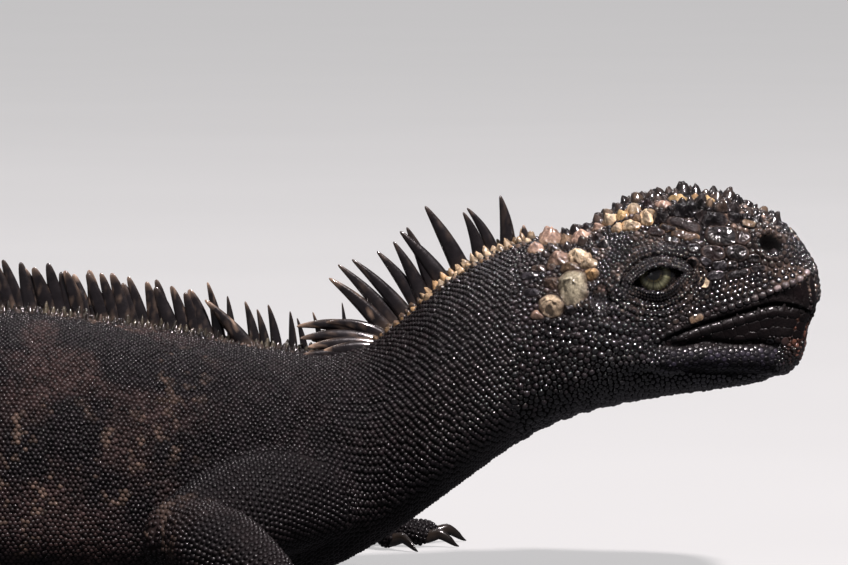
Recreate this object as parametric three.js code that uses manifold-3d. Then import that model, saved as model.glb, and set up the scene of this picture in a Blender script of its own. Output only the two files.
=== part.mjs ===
// A life-size, still model of an adult male marine iguana (Amblyrhynchus cristatus).
// It rests on its belly with the head held up, as it does at the surface of the sea.
// Millimetres. +X points to the snout, +Y to the animal's left and +Z up.
// The origin is on the flat of the belly, where the animal touches what it rests on.
import * as THREE from "three";
import { mergeVertices } from "three/addons/utils/BufferGeometryUtils.js";
import Module from "manifold-3d";

const wasm = await Module();
wasm.setup();

// Lengths along the body are measured backwards from the tip of the snout.
const SNOUT_X = 236;
const HEAD_END = 78;
const NECK_END = 134;
const TORSO_END = 392;
const TAIL_CUTS = [392, 530, 680, 830, 990];
const GAP = 0.3;
const CLEARANCE = 0.45;

// The tail swings from side to side, in a wave that grows behind the ribs.
const SWAY_START = 255;
const SWAY_FULL = 560;
const SWAY_WAVELENGTH = 560;
const SWAY_DEGREES = 30;

// The head.
const EYE = { behind: 49, height: 93.4, radius: 7.5, depth: 4.6, lid: 1.4, slope: 13 };
const ORBIT = { radius: 11.8, depth: 9.6 };
const EYE_OPENING = { halfLength: 8, upper: 3.6, lower: 3.9 };
const NOSTRIL = { behind: 15.2, height: 102.7, radius: 3.1, rim: 1.1 };
const EAR = { behind: 66, height: 86.5, radius: 5.6, depth: 1.7 };
const LIP = { places: [46, 37, 28, 19, 12, 7, 4], front: 2.3, sunk: 1.1, thickness: 2, steps: 24 };
const CROWN = { front: 15, rows: 9, rowStep: 6.6, spread: 1.9, small: 2.3, large: 3.1 };
const CHEEK = [[71.5, 105, 2.6], [72.5, 99.6, 2.9], [73.4, 91, 3.9], [69, 95.5, 2.2], [74.5, 83.5, 2.4]];
const JAW_END = 72;
const JAW_SETBACK = 1.8;

// The crest: each spine is a flat, curved blade. A short one is straight.
const SPINE_ROOT = 2.5;
const SHORT_SPINE = 9;

// A smooth curve through [position, value] knots that never overshoots them.
function profile(knots) {
  const last = knots.length - 1;
  const slopes = knots.slice(1).map(([x, y], i) => (y - knots[i][1]) / (x - knots[i][0]));
  const tangents = knots.map((_, i) => {
    if (i === 0) return slopes[0];
    if (i === last) return slopes[last - 1];
    const product = slopes[i - 1] * slopes[i];
    return product > 0 ? (2 * product) / (slopes[i - 1] + slopes[i]) : 0;
  });
  return (x) => {
    if (x <= knots[0][0]) return knots[0][1];
    if (x >= knots[last][0]) return knots[last][1];
    const i = knots.findIndex((knot) => knot[0] > x) - 1;
    const width = knots[i + 1][0] - knots[i][0];
    const t = (x - knots[i][0]) / width;
    const rise = knots[i + 1][1] - knots[i][1];
    const bend = (tangents[i] + tangents[i + 1]) * width - 2 * rise;
    const lift = 3 * rise - (2 * tangents[i] + tangents[i + 1]) * width;
    return knots[i][1] + t * (tangents[i] * width + t * (lift + t * bend));
  };
}

// The side view: the line of the back and the line of the belly.
const topLine = profile([
  [0, 88], [0.4, 91.5], [1.3, 95.2], [3.7, 99.6], [8.6, 106], [14, 109.4], [24, 112.3], [38, 114.5], [50, 113.4],
  [57, 111.6], [64, 108.6], [72, 105.2], [80, 102.8], [90, 100.4], [102, 95], [114, 86.5], [126, 76], [136, 69.5],
  [148, 67.5],
  [205, 75], [246, 79.5], [290, 77.5], [335, 68], [375, 56], [400, 50], [450, 44],
  [540, 37], [650, 30], [780, 21], [900, 11.5], [990, 3],
]);
const bottomLine = profile([
  [0, 86], [1, 80], [2.4, 72], [5, 66.5], [8.5, 63.8], [20, 60.5], [45, 57], [62, 54], [76, 50], [90, 43],
  [105, 32.5], [120, 21.5], [135, 11.5], [150, 4], [165, -1], [180, -3], [350, -3],
  [390, -1.2], [990, -0.6],
]);

// The view from above, and how high the widest place lies between belly and back.
const halfWidth = profile([
  [0.4, 9], [1.5, 13], [4, 17], [9, 20], [18, 22], [30, 23.5], [42, 26], [52, 28],
  [64, 30], [76, 29.5], [90, 28.5], [104, 29.5], [118, 32.5], [132, 37], [150, 42.5],
  [175, 48], [215, 55], [255, 58], [300, 54], [340, 44], [375, 33], [400, 27],
  [450, 20], [540, 13.5], [650, 9], [780, 6], [900, 3.6], [990, 1.2],
]);
const widestShare = profile([
  [0, 0.5], [30, 0.48], [60, 0.42], [100, 0.48], [150, 0.42], [200, 0.36],
  [330, 0.36], [400, 0.42], [990, 0.45],
]);

// Below 1 a section is boxy, at 1 it is an ellipse.
const roundness = profile([
  [0, 0.85], [20, 0.8], [60, 0.82], [90, 0.92], [160, 0.86], [350, 0.88], [420, 1],
]);

// The low keel of skin that the crest stands on.
const keel = profile([
  [78, 0], [90, 2.2], [130, 2.2], [148, 1.6], [200, 2], [400, 2], [600, 1.4], [990, 0.4],
]);

// The line of the mouth, and the row of large scales that edges the upper lip.
const mouthLine = profile([
  [-4, 79], [2.4, 81.9], [7.5, 84.4], [13.5, 85.2], [20.4, 83.8], [29, 81.4],
  [36.3, 79.4], [46.8, 75], [58, 70.6], [JAW_END, 67.4],
]);
const lipLine = profile([
  [0, 91.5], [6.6, 92], [12.3, 90.4], [22, 86.7], [31.8, 83.5], [38.7, 80.8], [46.8, 76.1],
]);

// The crest's height along the body, how far it leans back, and how broad each blade is.
const spineLength = profile([
  [88, 6], [92, 11], [97, 15], [104, 19], [112, 22], [128, 22.5], [134, 20], [140, 4],
  [150, 7], [158, 12], [170, 15], [190, 17.5], [250, 17.5], [330, 14], [400, 10.5],
  [540, 8.5], [780, 5.5], [990, 2.2],
]);
const spineLean = profile([
  [88, 0], [97, 12], [104, 28], [112, 40], [124, 52], [132, 66], [140, 20], [200, 12], [990, 40],
]);
const spineChord = profile([[88, 3], [97, 4.2], [130, 4.6], [140, 3.2], [200, 4.4], [540, 5], [990, 2.2]]);
const spineThickness = profile([[88, 1.8], [110, 2.4], [200, 2.2], [540, 1.8], [990, 0.9]]);

const radians = THREE.MathUtils.degToRad;
const smooth = (x, from, to) => THREE.MathUtils.smoothstep(x, from, to);
const signedPower = (x, power) => Math.sign(x) * Math.abs(x) ** power;
const onFloor = (point) => point.setZ(Math.max(point.z, 0));

// Which way the body points at a distance behind the snout, and the place of its middle there.
function heading(behind) {
  const swing = Math.sin((2 * Math.PI * (behind - SWAY_START)) / SWAY_WAVELENGTH);
  return radians(SWAY_DEGREES) * smooth(behind, SWAY_START, SWAY_FULL) * swing;
}

const PATH_STEP = 1;
const path = [new THREE.Vector2(SNOUT_X, 0)];
for (let behind = 0; behind < TAIL_CUTS.at(-1) + 10; behind += PATH_STEP) {
  const turn = heading(behind + PATH_STEP / 2);
  const back = new THREE.Vector2(-Math.cos(turn), -Math.sin(turn)).multiplyScalar(PATH_STEP);
  path.push(path.at(-1).clone().add(back));
}

function middleAt(behind) {
  const steps = Math.max(behind, 0) / PATH_STEP;
  const i = Math.floor(steps);
  return path[i].clone().lerp(path[i + 1], steps - i);
}

// A point given by its distance behind the snout, its distance to the left and its height.
function placeOnBody(behind, left, height) {
  const middle = middleAt(behind);
  const turn = heading(behind);
  return new THREE.Vector3(
    middle.x - left * Math.sin(turn),
    middle.y + left * Math.cos(turn),
    height,
  );
}

// The skin: an angle of 0 is the left side, 90 degrees the back and 270 the belly.
function skinPoint(behind, angle, grow = 0, narrow = 1) {
  const top = topLine(behind) + grow;
  const bottom = bottomLine(behind) - grow;
  const widest = bottom + widestShare(behind) * (top - bottom);
  const power = roundness(behind);
  const across = (halfWidth(behind) * narrow + grow) * signedPower(Math.cos(angle), power);
  const rise = signedPower(Math.sin(angle), power);
  const ridge = keel(behind) * Math.max(0, Math.sin(angle)) ** 24;
  const height = widest + rise * (rise > 0 ? top - widest : widest - bottom) + ridge;
  return placeOnBody(behind, across, height);
}

// The angle on the skin at a height, on the left side.
function angleAtHeight(behind, height) {
  const top = topLine(behind);
  const bottom = bottomLine(behind);
  const widest = bottom + widestShare(behind) * (top - bottom);
  const reach = height > widest ? top - widest : widest - bottom;
  const share = THREE.MathUtils.clamp((height - widest) / reach, -1, 1);
  return Math.asin(signedPower(share, 1 / roundness(behind)));
}

// A place on the skin with the direction that points straight out of it.
function skinFrame(behind, angle) {
  const point = skinPoint(behind, angle);
  const along = skinPoint(behind - 0.5, angle).sub(skinPoint(behind + 0.5, angle));
  const round = skinPoint(behind, angle + 0.02).sub(skinPoint(behind, angle - 0.02));
  return { point, out: round.cross(along).normalize() };
}

function sidePlace(behind, height, side) {
  const angle = angleAtHeight(behind, height);
  return skinFrame(behind, side > 0 ? angle : Math.PI - angle);
}

// A closed solid through rings of equal length. It ends in a point where one is given.
function loft(rings, tip) {
  const sides = rings[0].length;
  const points = rings.flat();
  const index = [];
  for (let ring = 0; ring < rings.length - 1; ring++) {
    for (let i = 0; i < sides; i++) {
      const a = ring * sides + i;
      const b = ring * sides + ((i + 1) % sides);
      index.push(a, b, a + sides, b, b + sides, a + sides);
    }
  }
  const centre = (ring) =>
    ring.reduce((sum, point) => sum.add(point), new THREE.Vector3()).divideScalar(sides);
  const start = points.push(centre(rings[0])) - 1;
  const end = points.push(tip ?? centre(rings.at(-1))) - 1;
  const lastRing = (rings.length - 1) * sides;
  for (let i = 0; i < sides; i++) {
    const next = (i + 1) % sides;
    index.push(start, next, i, end, lastRing + i, lastRing + next);
  }
  const geometry = new THREE.BufferGeometry().setFromPoints(points);
  geometry.setIndex(index);
  return solid(geometry);
}

// A three.js geometry as a manifold solid that faces out.
function solid(geometry) {
  const bare = geometry.clone();
  bare.deleteAttribute("normal");
  bare.deleteAttribute("uv");
  const merged = mergeVertices(bare, 1e-4);
  const triVerts = new Uint32Array(merged.index.array);
  const vertProperties = merged.attributes.position.array;
  const made = new wasm.Manifold(new wasm.Mesh({ numProp: 3, vertProperties, triVerts }));
  if (made.volume() > 0) return made;
  for (let i = 0; i < triVerts.length; i += 3) {
    [triVerts[i + 1], triVerts[i + 2]] = [triVerts[i + 2], triVerts[i + 1]];
  }
  return new wasm.Manifold(new wasm.Mesh({ numProp: 3, vertProperties, triVerts }));
}

const join = (solids) => solids.reduce((whole, piece) => whole.add(piece));

function largest(whole) {
  return whole.decompose().reduce((a, b) => (a.volume() > b.volume() ? a : b));
}

// The body between two places along it, with its rings a set number of sides.
function bodyLength(from, to, sides, stations, grow = 0) {
  const rings = stations.map((behind) =>
    Array.from({ length: sides }, (_, i) =>
      onFloor(skinPoint(THREE.MathUtils.clamp(behind, from, to), (2 * Math.PI * i) / sides, grow)),
    ),
  );
  return loft(rings);
}

// Places from one value to another, both ends among them.
function evenly(from, to, count) {
  return Array.from({ length: count + 1 }, (_, i) => from + ((to - from) * i) / count);
}

// One ring of a limb, toe or claw, across the direction it runs in.
function ringAt(centre, direction, across, upright, sides) {
  const side = new THREE.Vector3(0, 0, 1).cross(direction).normalize();
  const up = direction.clone().cross(side).normalize();
  return Array.from({ length: sides }, (_, i) => {
    const angle = (2 * Math.PI * (i + 0.5)) / sides;
    return centre
      .clone()
      .addScaledVector(side, across * Math.cos(angle))
      .addScaledVector(up, upright * Math.sin(angle));
  });
}

// A limb segment: a tapered tube with round ends, along a curve through the given joints.
function limb(joints, radii, { sides = 10, steps = 5, grow = 0 } = {}) {
  const curve = new THREE.CatmullRomCurve3(joints);
  const radius = profile(radii);
  const rings = [];
  const roundEnd = (t, outward, angles) => {
    const centre = curve.getPoint(t);
    const direction = curve.getTangent(t);
    for (const angle of angles) {
      const size = radius(t) + grow;
      const shifted = centre.clone().addScaledVector(direction, outward * size * Math.sin(angle));
      rings.push(ringAt(shifted, direction, size * Math.cos(angle), size * Math.cos(angle), sides));
    }
  };
  roundEnd(0, -1, [radians(75), radians(40)]);
  for (const t of evenly(0, 1, steps)) {
    const size = radius(t) + grow;
    rings.push(ringAt(curve.getPoint(t), curve.getTangent(t), size, size, sides));
  }
  roundEnd(1, 1, [radians(40), radians(75)]);
  return loft(rings.map((ring) => ring.map(onFloor)));
}

// A crest blade that stands on the keel, sunk at its root, and curves back to its tip.
function spine(behind, length, lean, chord, thickness, shift = 0) {
  const turn = heading(behind);
  const forward = new THREE.Vector3(Math.cos(turn), Math.sin(turn), 0);
  const left = new THREE.Vector3(-Math.sin(turn), Math.cos(turn), 0);
  const root = placeOnBody(behind, shift, topLine(behind) + keel(behind) - 0.4);
  const direction = (degrees) =>
    new THREE.Vector3(0, 0, Math.cos(radians(degrees))).addScaledVector(forward, -Math.sin(radians(degrees)));
  const blade = (centre, degrees, size) => {
    const along = direction(degrees - 90);
    return [
      centre.clone().addScaledVector(along, (chord * size) / 2),
      centre.clone().addScaledVector(left, (thickness * size) / 2),
      centre.clone().addScaledVector(along, (-chord * size) / 2),
      centre.clone().addScaledVector(left, (-thickness * size) / 2),
    ];
  };
  const middle = root.clone().addScaledVector(direction(lean - 6), length * 0.5);
  const tip = middle.clone().addScaledVector(direction(lean + 9), length * 0.5);
  const rings = [blade(root.clone().addScaledVector(direction(lean - 6), -SPINE_ROOT), lean - 6, 1.05)];
  if (length > SHORT_SPINE) rings.push(blade(middle, lean, 0.72));
  return loft(rings, tip);
}

// The blades between two places, where the real ones stand a little closer together.
function crest(from, to, spacing) {
  const count = Math.round((to - from) / spacing);
  return evenly(from, to, count).map((behind, i) => {
    const varied = 1 + 0.1 * Math.sin(i * 2.4) + 0.05 * Math.sin(i * 5.1);
    const lean = spineLean(behind) + 4 * Math.sin(i * 1.7);
    return spine(behind, spineLength(behind) * varied, lean, spineChord(behind), spineThickness(behind));
  });
}

// A cone of a scale, set on the skin with its root sunk. A blunt one has a flat top.
function scute(behind, angle, radius, height, { sides = 5, blunt = 0 } = {}) {
  const { point, out } = skinFrame(behind, angle);
  const sunk = radius * 0.5;
  const shape = new THREE.CylinderGeometry(radius * blunt, radius, height + sunk, sides, 1);
  shape.rotateY(behind * 3 + angle * 7);
  shape.applyQuaternion(new THREE.Quaternion().setFromUnitVectors(new THREE.Vector3(0, 1, 0), out));
  const centre = point.addScaledVector(out, (height - sunk) / 2);
  shape.translate(centre.x, centre.y, centre.z);
  return solid(shape);
}

function ball(centre, radius, scale = [1, 1, 1], rows = 8, columns = 12) {
  const shape = new THREE.SphereGeometry(radius, columns, rows);
  shape.rotateX(Math.PI / 2);
  shape.scale(...scale);
  shape.translate(centre.x, centre.y, centre.z);
  return solid(shape);
}

// A shape drawn in the side view, run across the body.
function acrossBody(outline, from, to) {
  const shape = new THREE.ExtrudeGeometry(new THREE.Shape(outline), {
    depth: to - from,
    bevelEnabled: false,
  });
  shape.rotateX(Math.PI / 2);
  shape.translate(0, to, 0);
  return solid(shape);
}

// What lies below the line of the mouth, moved up or down a little.
function belowMouth(raise, back) {
  const line = evenly(-4, JAW_END + back, 26).map(
    (behind) => new THREE.Vector2(SNOUT_X - behind, mouthLine(behind) + raise),
  );
  const rear = SNOUT_X - JAW_END - back;
  line.push(new THREE.Vector2(rear, 35), new THREE.Vector2(SNOUT_X + 4, 35));
  return acrossBody(line, -45, 45);
}

// The scaled upper lip: a band along the mouth, from one corner round the snout to the other.
function upperLip() {
  const middle = (behind) => (mouthLine(behind) + lipLine(behind)) / 2;
  const side = (sign) =>
    LIP.places.map((behind) => {
      const { point, out } = sidePlace(behind, middle(behind), sign);
      return point.addScaledVector(out, -LIP.sunk);
    });
  const front = placeOnBody(LIP.front, 0, middle(0));
  const curve = new THREE.CatmullRomCurve3([...side(1), front, ...side(-1).reverse()], false, "centripetal");
  const rings = evenly(0, 1, LIP.steps).map((t) => {
    const centre = curve.getPointAt(t);
    const behind = SNOUT_X - centre.x;
    const half = Math.max((lipLine(behind) - mouthLine(behind)) / 2, 1);
    return ringAt(centre, curve.getTangentAt(t), LIP.thickness, half, 6);
  });
  return loft(rings);
}

// The almond between the lids, looking in from the side.
function eyeOpening(side) {
  const { halfLength, upper, lower, slope } = { ...EYE_OPENING, slope: EYE.slope };
  const outline = [];
  for (const t of evenly(0, 1, 6).slice(0, -1)) {
    outline.push(new THREE.Vector2(-halfLength + 2 * halfLength * t, upper * Math.sin(Math.PI * t)));
  }
  for (const t of evenly(0, 1, 6).slice(0, -1)) {
    outline.push(new THREE.Vector2(halfLength - 2 * halfLength * t, -lower * Math.sin(Math.PI * t)));
  }
  const centre = new THREE.Vector2(SNOUT_X - EYE.behind, EYE.height);
  const turned = outline.map((point) => point.rotateAround(new THREE.Vector2(), radians(slope)).add(centre));
  return side > 0 ? acrossBody(turned, 20, 45) : acrossBody(turned, -45, -20);
}

function eyeCentre(side) {
  const { point } = sidePlace(EYE.behind, EYE.height, side);
  return point.setY(point.y - side * EYE.depth);
}

// The conical scales of the crown, in rows from the snout to the nape.
function crownScutes() {
  const scutes = [];
  for (let row = 0; row < CROWN.rows; row++) {
    const behind = CROWN.front + row * CROWN.rowStep;
    const count = row < 2 ? 4 : 6;
    const spread = row < 3 ? CROWN.spread * 0.75 : CROWN.spread;
    for (let i = 0; i < count; i++) {
      const across = (i + (row % 2 ? 0.25 : -0.25)) / (count - 1) - 0.5;
      const varied = 0.45 * Math.sin(row * 3.1 + i * 1.9);
      const size = (row > 0 && row < 7 ? CROWN.large : CROWN.small) + varied;
      scutes.push(scute(behind, Math.PI / 2 + across * spread, size, size * 1.2));
    }
  }
  return scutes;
}

// The pale, swollen scales behind the jaw, in an arc from the nape down to the ear.
function cheekScutes(side) {
  return CHEEK.map(([behind, height, radius]) => {
    const angle = angleAtHeight(behind, height);
    return scute(behind, side > 0 ? angle : Math.PI - angle, radius, radius * 0.9, { sides: 6, blunt: 0.5 });
  });
}

function makeHead() {
  const stations = [0.4, 1.3, 2.6, 4.4, 6.8, 9.8, 13.4, 17.6, ...evenly(22, HEAD_END - GAP / 2, 12)];
  let head = bodyLength(0, HEAD_END, 32, stations);
  const added = [upperLip(), ...crownScutes(), ...cheekScutes(1), ...cheekScutes(-1)];
  const removed = [belowMouth(GAP / 2, GAP)];
  for (const side of [1, -1]) {
    const eye = eyeCentre(side);
    const nostril = sidePlace(NOSTRIL.behind, NOSTRIL.height, side);
    const ear = sidePlace(EAR.behind, EAR.height, side);
    const orbit = eye.clone().setY(eye.y - side * (ORBIT.depth - EYE.depth));
    added.push(ball(eye, EYE.radius + EYE.lid), ball(orbit, ORBIT.radius));
    const rim = new THREE.TorusGeometry(NOSTRIL.radius + NOSTRIL.rim * 0.6, NOSTRIL.rim, 5, 12);
    const turn = new THREE.Quaternion().setFromUnitVectors(new THREE.Vector3(0, 0, 1), nostril.out);
    rim.applyQuaternion(turn).translate(nostril.point.x, nostril.point.y, nostril.point.z);
    added.push(solid(rim));
    removed.push(ball(eye, EYE.radius + GAP));
    removed.push(eyeOpening(side));
    removed.push(ball(nostril.point, NOSTRIL.radius, [1, 1, 1], 6, 10));
    const hollow = new THREE.SphereGeometry(EAR.radius, 12, 8).scale(1, 1, EAR.depth / EAR.radius);
    const face = new THREE.Quaternion().setFromUnitVectors(new THREE.Vector3(0, 0, 1), ear.out);
    hollow.applyQuaternion(face).translate(ear.point.x, ear.point.y, ear.point.z);
    removed.push(solid(hollow));
  }
  head = join([head, ...added]).subtract(join(removed));
  return largest(head);
}

function makeJaw() {
  const front = JAW_SETBACK;
  const stations = [front, front + 0.8, front + 2.2, front + 4.4, ...evenly(11, JAW_END - GAP, 13)];
  const rings = stations.map((behind) => {
    const narrow = THREE.MathUtils.mapLinear(Math.min(behind, 45), 0, 45, 0.9, 0.99);
    return Array.from({ length: 32 }, (_, i) => skinPoint(behind, (2 * Math.PI * i) / 32, 0, narrow));
  });
  return largest(loft(rings).intersect(belowMouth(-GAP / 2, 0)));
}

// The trunk and the tail's lengths, each with its own part of the crest.
function makeNeck() {
  const neck = bodyLength(HEAD_END, NECK_END, 24, evenly(HEAD_END + GAP / 2, NECK_END - GAP / 2, 13));
  return join([neck, ...crest(88, 131, 4.2)]);
}

function makeTorso() {
  const torso = bodyLength(NECK_END, TORSO_END, 24, evenly(NECK_END + GAP / 2, TORSO_END - GAP / 2, 24));
  return join([torso, ...crest(148, 387.5, 6)]);
}

function makeTail(number) {
  const [from, to] = TAIL_CUTS.slice(number - 1, number + 1);
  const length = bodyLength(from, to, 14, evenly(from + GAP / 2, to - GAP / 2, 13));
  const margin = 4.5;
  return join([length, ...crest(from + margin, to - margin * 1.7, 9)]);
}

// Legs: each joint is given from the body's middle at the girdle, as [forward, outward, height].
const LEGS = [
  {
    side: "left", sign: 1, girdle: 152, kind: "fore",
    shoulder: [2, 28, 30], elbow: [-32, 70, 20], wrist: [-2, 96, 10], palm: [8, 102, 5.6], toesTurn: 22,
  },
  {
    side: "right", sign: -1, girdle: 152, kind: "fore",
    shoulder: [2, 28, 30], elbow: [-36, 66, 20], wrist: [-10, 93, 10], palm: [-1, 100, 5.6], toesTurn: 28,
  },
  {
    side: "left", sign: 1, girdle: 362, kind: "hind",
    shoulder: [0, 20, 28], elbow: [30, 72, 27], wrist: [-18, 92, 12], palm: [-2, 106, 5.8], toesTurn: 46,
  },
  {
    side: "right", sign: -1, girdle: 362, kind: "hind",
    shoulder: [0, 20, 28], elbow: [24, 74, 26], wrist: [-24, 90, 12], palm: [-9, 105, 5.8], toesTurn: 52,
  },
];
const LEG_SIZES = {
  fore: {
    names: ["upper_arm", "forearm", "hand"],
    upper: [[0, 16.5], [0.5, 15.5], [1, 12]],
    lower: [[0, 11.5], [0.35, 12.6], [1, 8]],
    palm: [13, 11, 6.4],
    toes: [[-62, 14], [-30, 20], [-4, 24], [22, 23], [58, 15]],
    toeRadius: 3.3,
    claw: 10,
  },
  hind: {
    names: ["thigh", "shin", "foot"],
    upper: [[0, 21], [0.45, 20.5], [1, 14]],
    lower: [[0, 13.5], [0.35, 14.4], [1, 9]],
    palm: [21, 11.5, 6.8],
    toes: [[-48, 16], [-26, 26], [-8, 35], [10, 42], [46, 25]],
    toeRadius: 3.5,
    claw: 10.5,
  },
};

function legPlace(leg, [forward, outward, height]) {
  const point = placeOnBody(leg.girdle, leg.sign * outward, height);
  const turn = heading(leg.girdle);
  return point.add(new THREE.Vector3(Math.cos(turn), Math.sin(turn), 0).multiplyScalar(forward));
}

// A toe and its claw, which meet face to face.
function toeAndClaw(leg, sizes, palm, degrees, length) {
  const turn = heading(leg.girdle) + leg.sign * radians(leg.toesTurn + degrees);
  const ahead = new THREE.Vector3(Math.cos(turn), Math.sin(turn), 0);
  const start = sizes.palm[0] * 0.55;
  const at = (distance, height) => palm.clone().addScaledVector(ahead, distance).setZ(height);
  const r = sizes.toeRadius;
  const curve = new THREE.CatmullRomCurve3([
    at(start * 0.5, r * 1.6),
    at(start + length * 0.3, r * 1.9),
    at(start + length * 0.66, r * 1.5),
    at(start + length, r),
  ]);
  const rings = evenly(0, 1, 4).map((t) => {
    const size = r * (1.12 - 0.3 * t + 0.1 * Math.sin(t * Math.PI * 3));
    return ringAt(curve.getPoint(t), curve.getTangent(t), size, size, 6).map(onFloor);
  });
  const toe = loft(rings);
  const end = curve.getPoint(1);
  const out = curve.getTangent(1);
  const clawRing = (forward, drop, size) => {
    const centre = end.clone().addScaledVector(out, GAP + forward * sizes.claw);
    centre.z = Math.max(centre.z + drop, size + 0.15);
    const lean = out.clone().setZ(out.z - forward * 0.7).normalize();
    return ringAt(centre, lean, size * 0.85, size * 1.15, 5).map(onFloor);
  };
  const claw = loft([
    clawRing(0, 0, 1.9), clawRing(0.35, 1.1, 1.6), clawRing(0.7, 0.9, 1.05), clawRing(1, 0.1, 0.25),
  ]);
  return { toe, claw };
}

function makeLeg(leg, torso) {
  const sizes = LEG_SIZES[leg.kind];
  const places = [leg.shoulder, leg.elbow, leg.wrist, leg.palm];
  const [root, bend, end, palm] = places.map((place) => legPlace(leg, place));
  const bulge = (a, b, lift) => a.clone().lerp(b, 0.5).add(new THREE.Vector3(0, 0, lift));
  const upperPath = [root, bulge(root, bend, 2), bend];
  const lowerPath = [bend, bulge(bend, end, 1.5), end];
  const upper = limb(upperPath, sizes.upper);
  const lower = limb(lowerPath, sizes.lower);
  const upperSpace = limb(upperPath, sizes.upper, { grow: CLEARANCE });
  const lowerSpace = limb(lowerPath, sizes.lower, { grow: CLEARANCE });
  const toes = sizes.toes.map(([degrees, length]) => toeAndClaw(leg, sizes, palm, degrees, length));
  const [long, wide, thick] = sizes.palm;
  const pad = new THREE.SphereGeometry(1, 10, 7).rotateX(Math.PI / 2).scale(long, wide, thick);
  const palmTurn = heading(leg.girdle) + leg.sign * radians(leg.toesTurn);
  pad.rotateZ(palmTurn).translate(palm.x, palm.y, palm.z);
  const position = pad.attributes.position;
  for (let i = 0; i < position.count; i++) position.setZ(i, Math.max(position.getZ(i), 0));
  const hand = join([solid(pad), ...toes.map(({ toe }) => toe)]);
  const [upperName, lowerName, handName] = sizes.names;
  return {
    [`${upperName}_${leg.side}`]: largest(upper.subtract(torso)),
    [`${lowerName}_${leg.side}`]: largest(lower.subtract(upperSpace).subtract(torso)),
    [`${handName}_${leg.side}`]: largest(hand.subtract(lowerSpace)),
    claws: Object.fromEntries(toes.map(({ claw }, i) => [`claw_${handName}_${leg.side}_${i + 1}`, claw])),
  };
}

const skinMaterial = new THREE.MeshStandardMaterial({ color: 0x1d1917, roughness: 0.38, metalness: 0 });
const clawMaterial = new THREE.MeshStandardMaterial({ color: 0x14110f, roughness: 0.3, metalness: 0 });
const eyeMaterial = new THREE.MeshStandardMaterial({ color: 0x5a5d35, roughness: 0.08, metalness: 0 });

const iguana = new THREE.Group();
iguana.name = "marine_iguana";

function addNode(parent, name, whole, material) {
  const { numProp, vertProperties, triVerts } = whole.getMesh();
  const position = new Float32Array((vertProperties.length / numProp) * 3);
  for (let i = 0; i < position.length / 3; i++) {
    position.set(vertProperties.subarray(i * numProp, i * numProp + 3), i * 3);
  }
  const geometry = new THREE.BufferGeometry();
  geometry.setAttribute("position", new THREE.BufferAttribute(position, 3));
  geometry.setIndex(new THREE.BufferAttribute(triVerts, 1));
  geometry.computeVertexNormals();
  const mesh = new THREE.Mesh(geometry, material);
  mesh.name = name;
  parent.add(mesh);
}

// The head and the trunk.
const head = new THREE.Group();
addNode(head, "head", makeHead(), skinMaterial);
addNode(head, "lower_jaw", makeJaw(), skinMaterial);
for (const [name, side] of [["left", 1], ["right", -1]]) {
  addNode(head, `eye_${name}`, ball(eyeCentre(side), EYE.radius), eyeMaterial);
}
iguana.add(head);
addNode(iguana, "neck", makeNeck(), skinMaterial);
addNode(iguana, "torso", makeTorso(), skinMaterial);
for (const number of [1, 2, 3, 4]) addNode(iguana, `tail_${number}`, makeTail(number), skinMaterial);

// The legs, fitted to the trunk with a small clearance.
const trunkSpace = bodyLength(90, TAIL_CUTS[1], 24, evenly(90, TAIL_CUTS[1], 46), CLEARANCE);
for (const leg of LEGS) {
  const group = new THREE.Group();
  const { claws, ...pieces } = makeLeg(leg, trunkSpace);
  for (const [name, piece] of Object.entries(pieces)) addNode(group, name, piece, skinMaterial);
  for (const [name, claw] of Object.entries(claws)) addNode(group, name, claw, clawMaterial);
  iguana.add(group);
}

export default iguana;
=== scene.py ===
import math

import bpy
import numpy as np
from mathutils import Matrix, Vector, bvhtree, kdtree


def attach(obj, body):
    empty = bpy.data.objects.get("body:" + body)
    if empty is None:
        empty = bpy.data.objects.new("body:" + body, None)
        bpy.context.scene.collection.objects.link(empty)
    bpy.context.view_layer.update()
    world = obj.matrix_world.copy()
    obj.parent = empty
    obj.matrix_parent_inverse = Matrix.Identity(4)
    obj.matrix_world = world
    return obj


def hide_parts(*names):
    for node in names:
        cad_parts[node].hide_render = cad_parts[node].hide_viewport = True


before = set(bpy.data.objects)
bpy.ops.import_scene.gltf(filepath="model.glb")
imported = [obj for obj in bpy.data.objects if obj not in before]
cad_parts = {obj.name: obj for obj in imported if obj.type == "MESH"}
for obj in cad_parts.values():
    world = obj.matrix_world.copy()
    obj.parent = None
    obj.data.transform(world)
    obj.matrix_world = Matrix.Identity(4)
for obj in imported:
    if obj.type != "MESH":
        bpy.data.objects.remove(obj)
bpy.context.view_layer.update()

MM = 0.001
rng = np.random.default_rng(11)

# Lengths along the body are measured backwards from the tip of the snout.
SNOUT_X = 236
TAIL_END = 990
SWAY_START = 255
SWAY_FULL = 560
SWAY_WAVELENGTH = 560
SWAY_DEGREES = 30

# The head.
EYE = dict(behind=49, height=93.4, radius=7.5, depth=4.6, lid=1.7, slope=13)
ORBIT = dict(radius=11.8, depth=9.6)
EYE_OPENING = dict(half_length=8, upper=3.4, lower=3.9)
NOSTRIL = dict(behind=15.2, height=102.7, long=3.7, tall=2.8, tilt=-28, deep=5)
EAR = dict(behind=65.5, height=87.5, long=2.9, tall=4.2, deep=1.1)
JAW_END = 72
JAW_SETBACK = 1.8
MOUTH_CORNER = 46.2

# The camera looks at the right side, a little from above, through a long lens.
VIEW_ELEVATION = 4
VIEW_DISTANCE = 2200
VIEW_CENTRE = (117.8, 0, 90.25)
VIEW_WIDTH = 254.4


# Curves and the body's own coordinates

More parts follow.
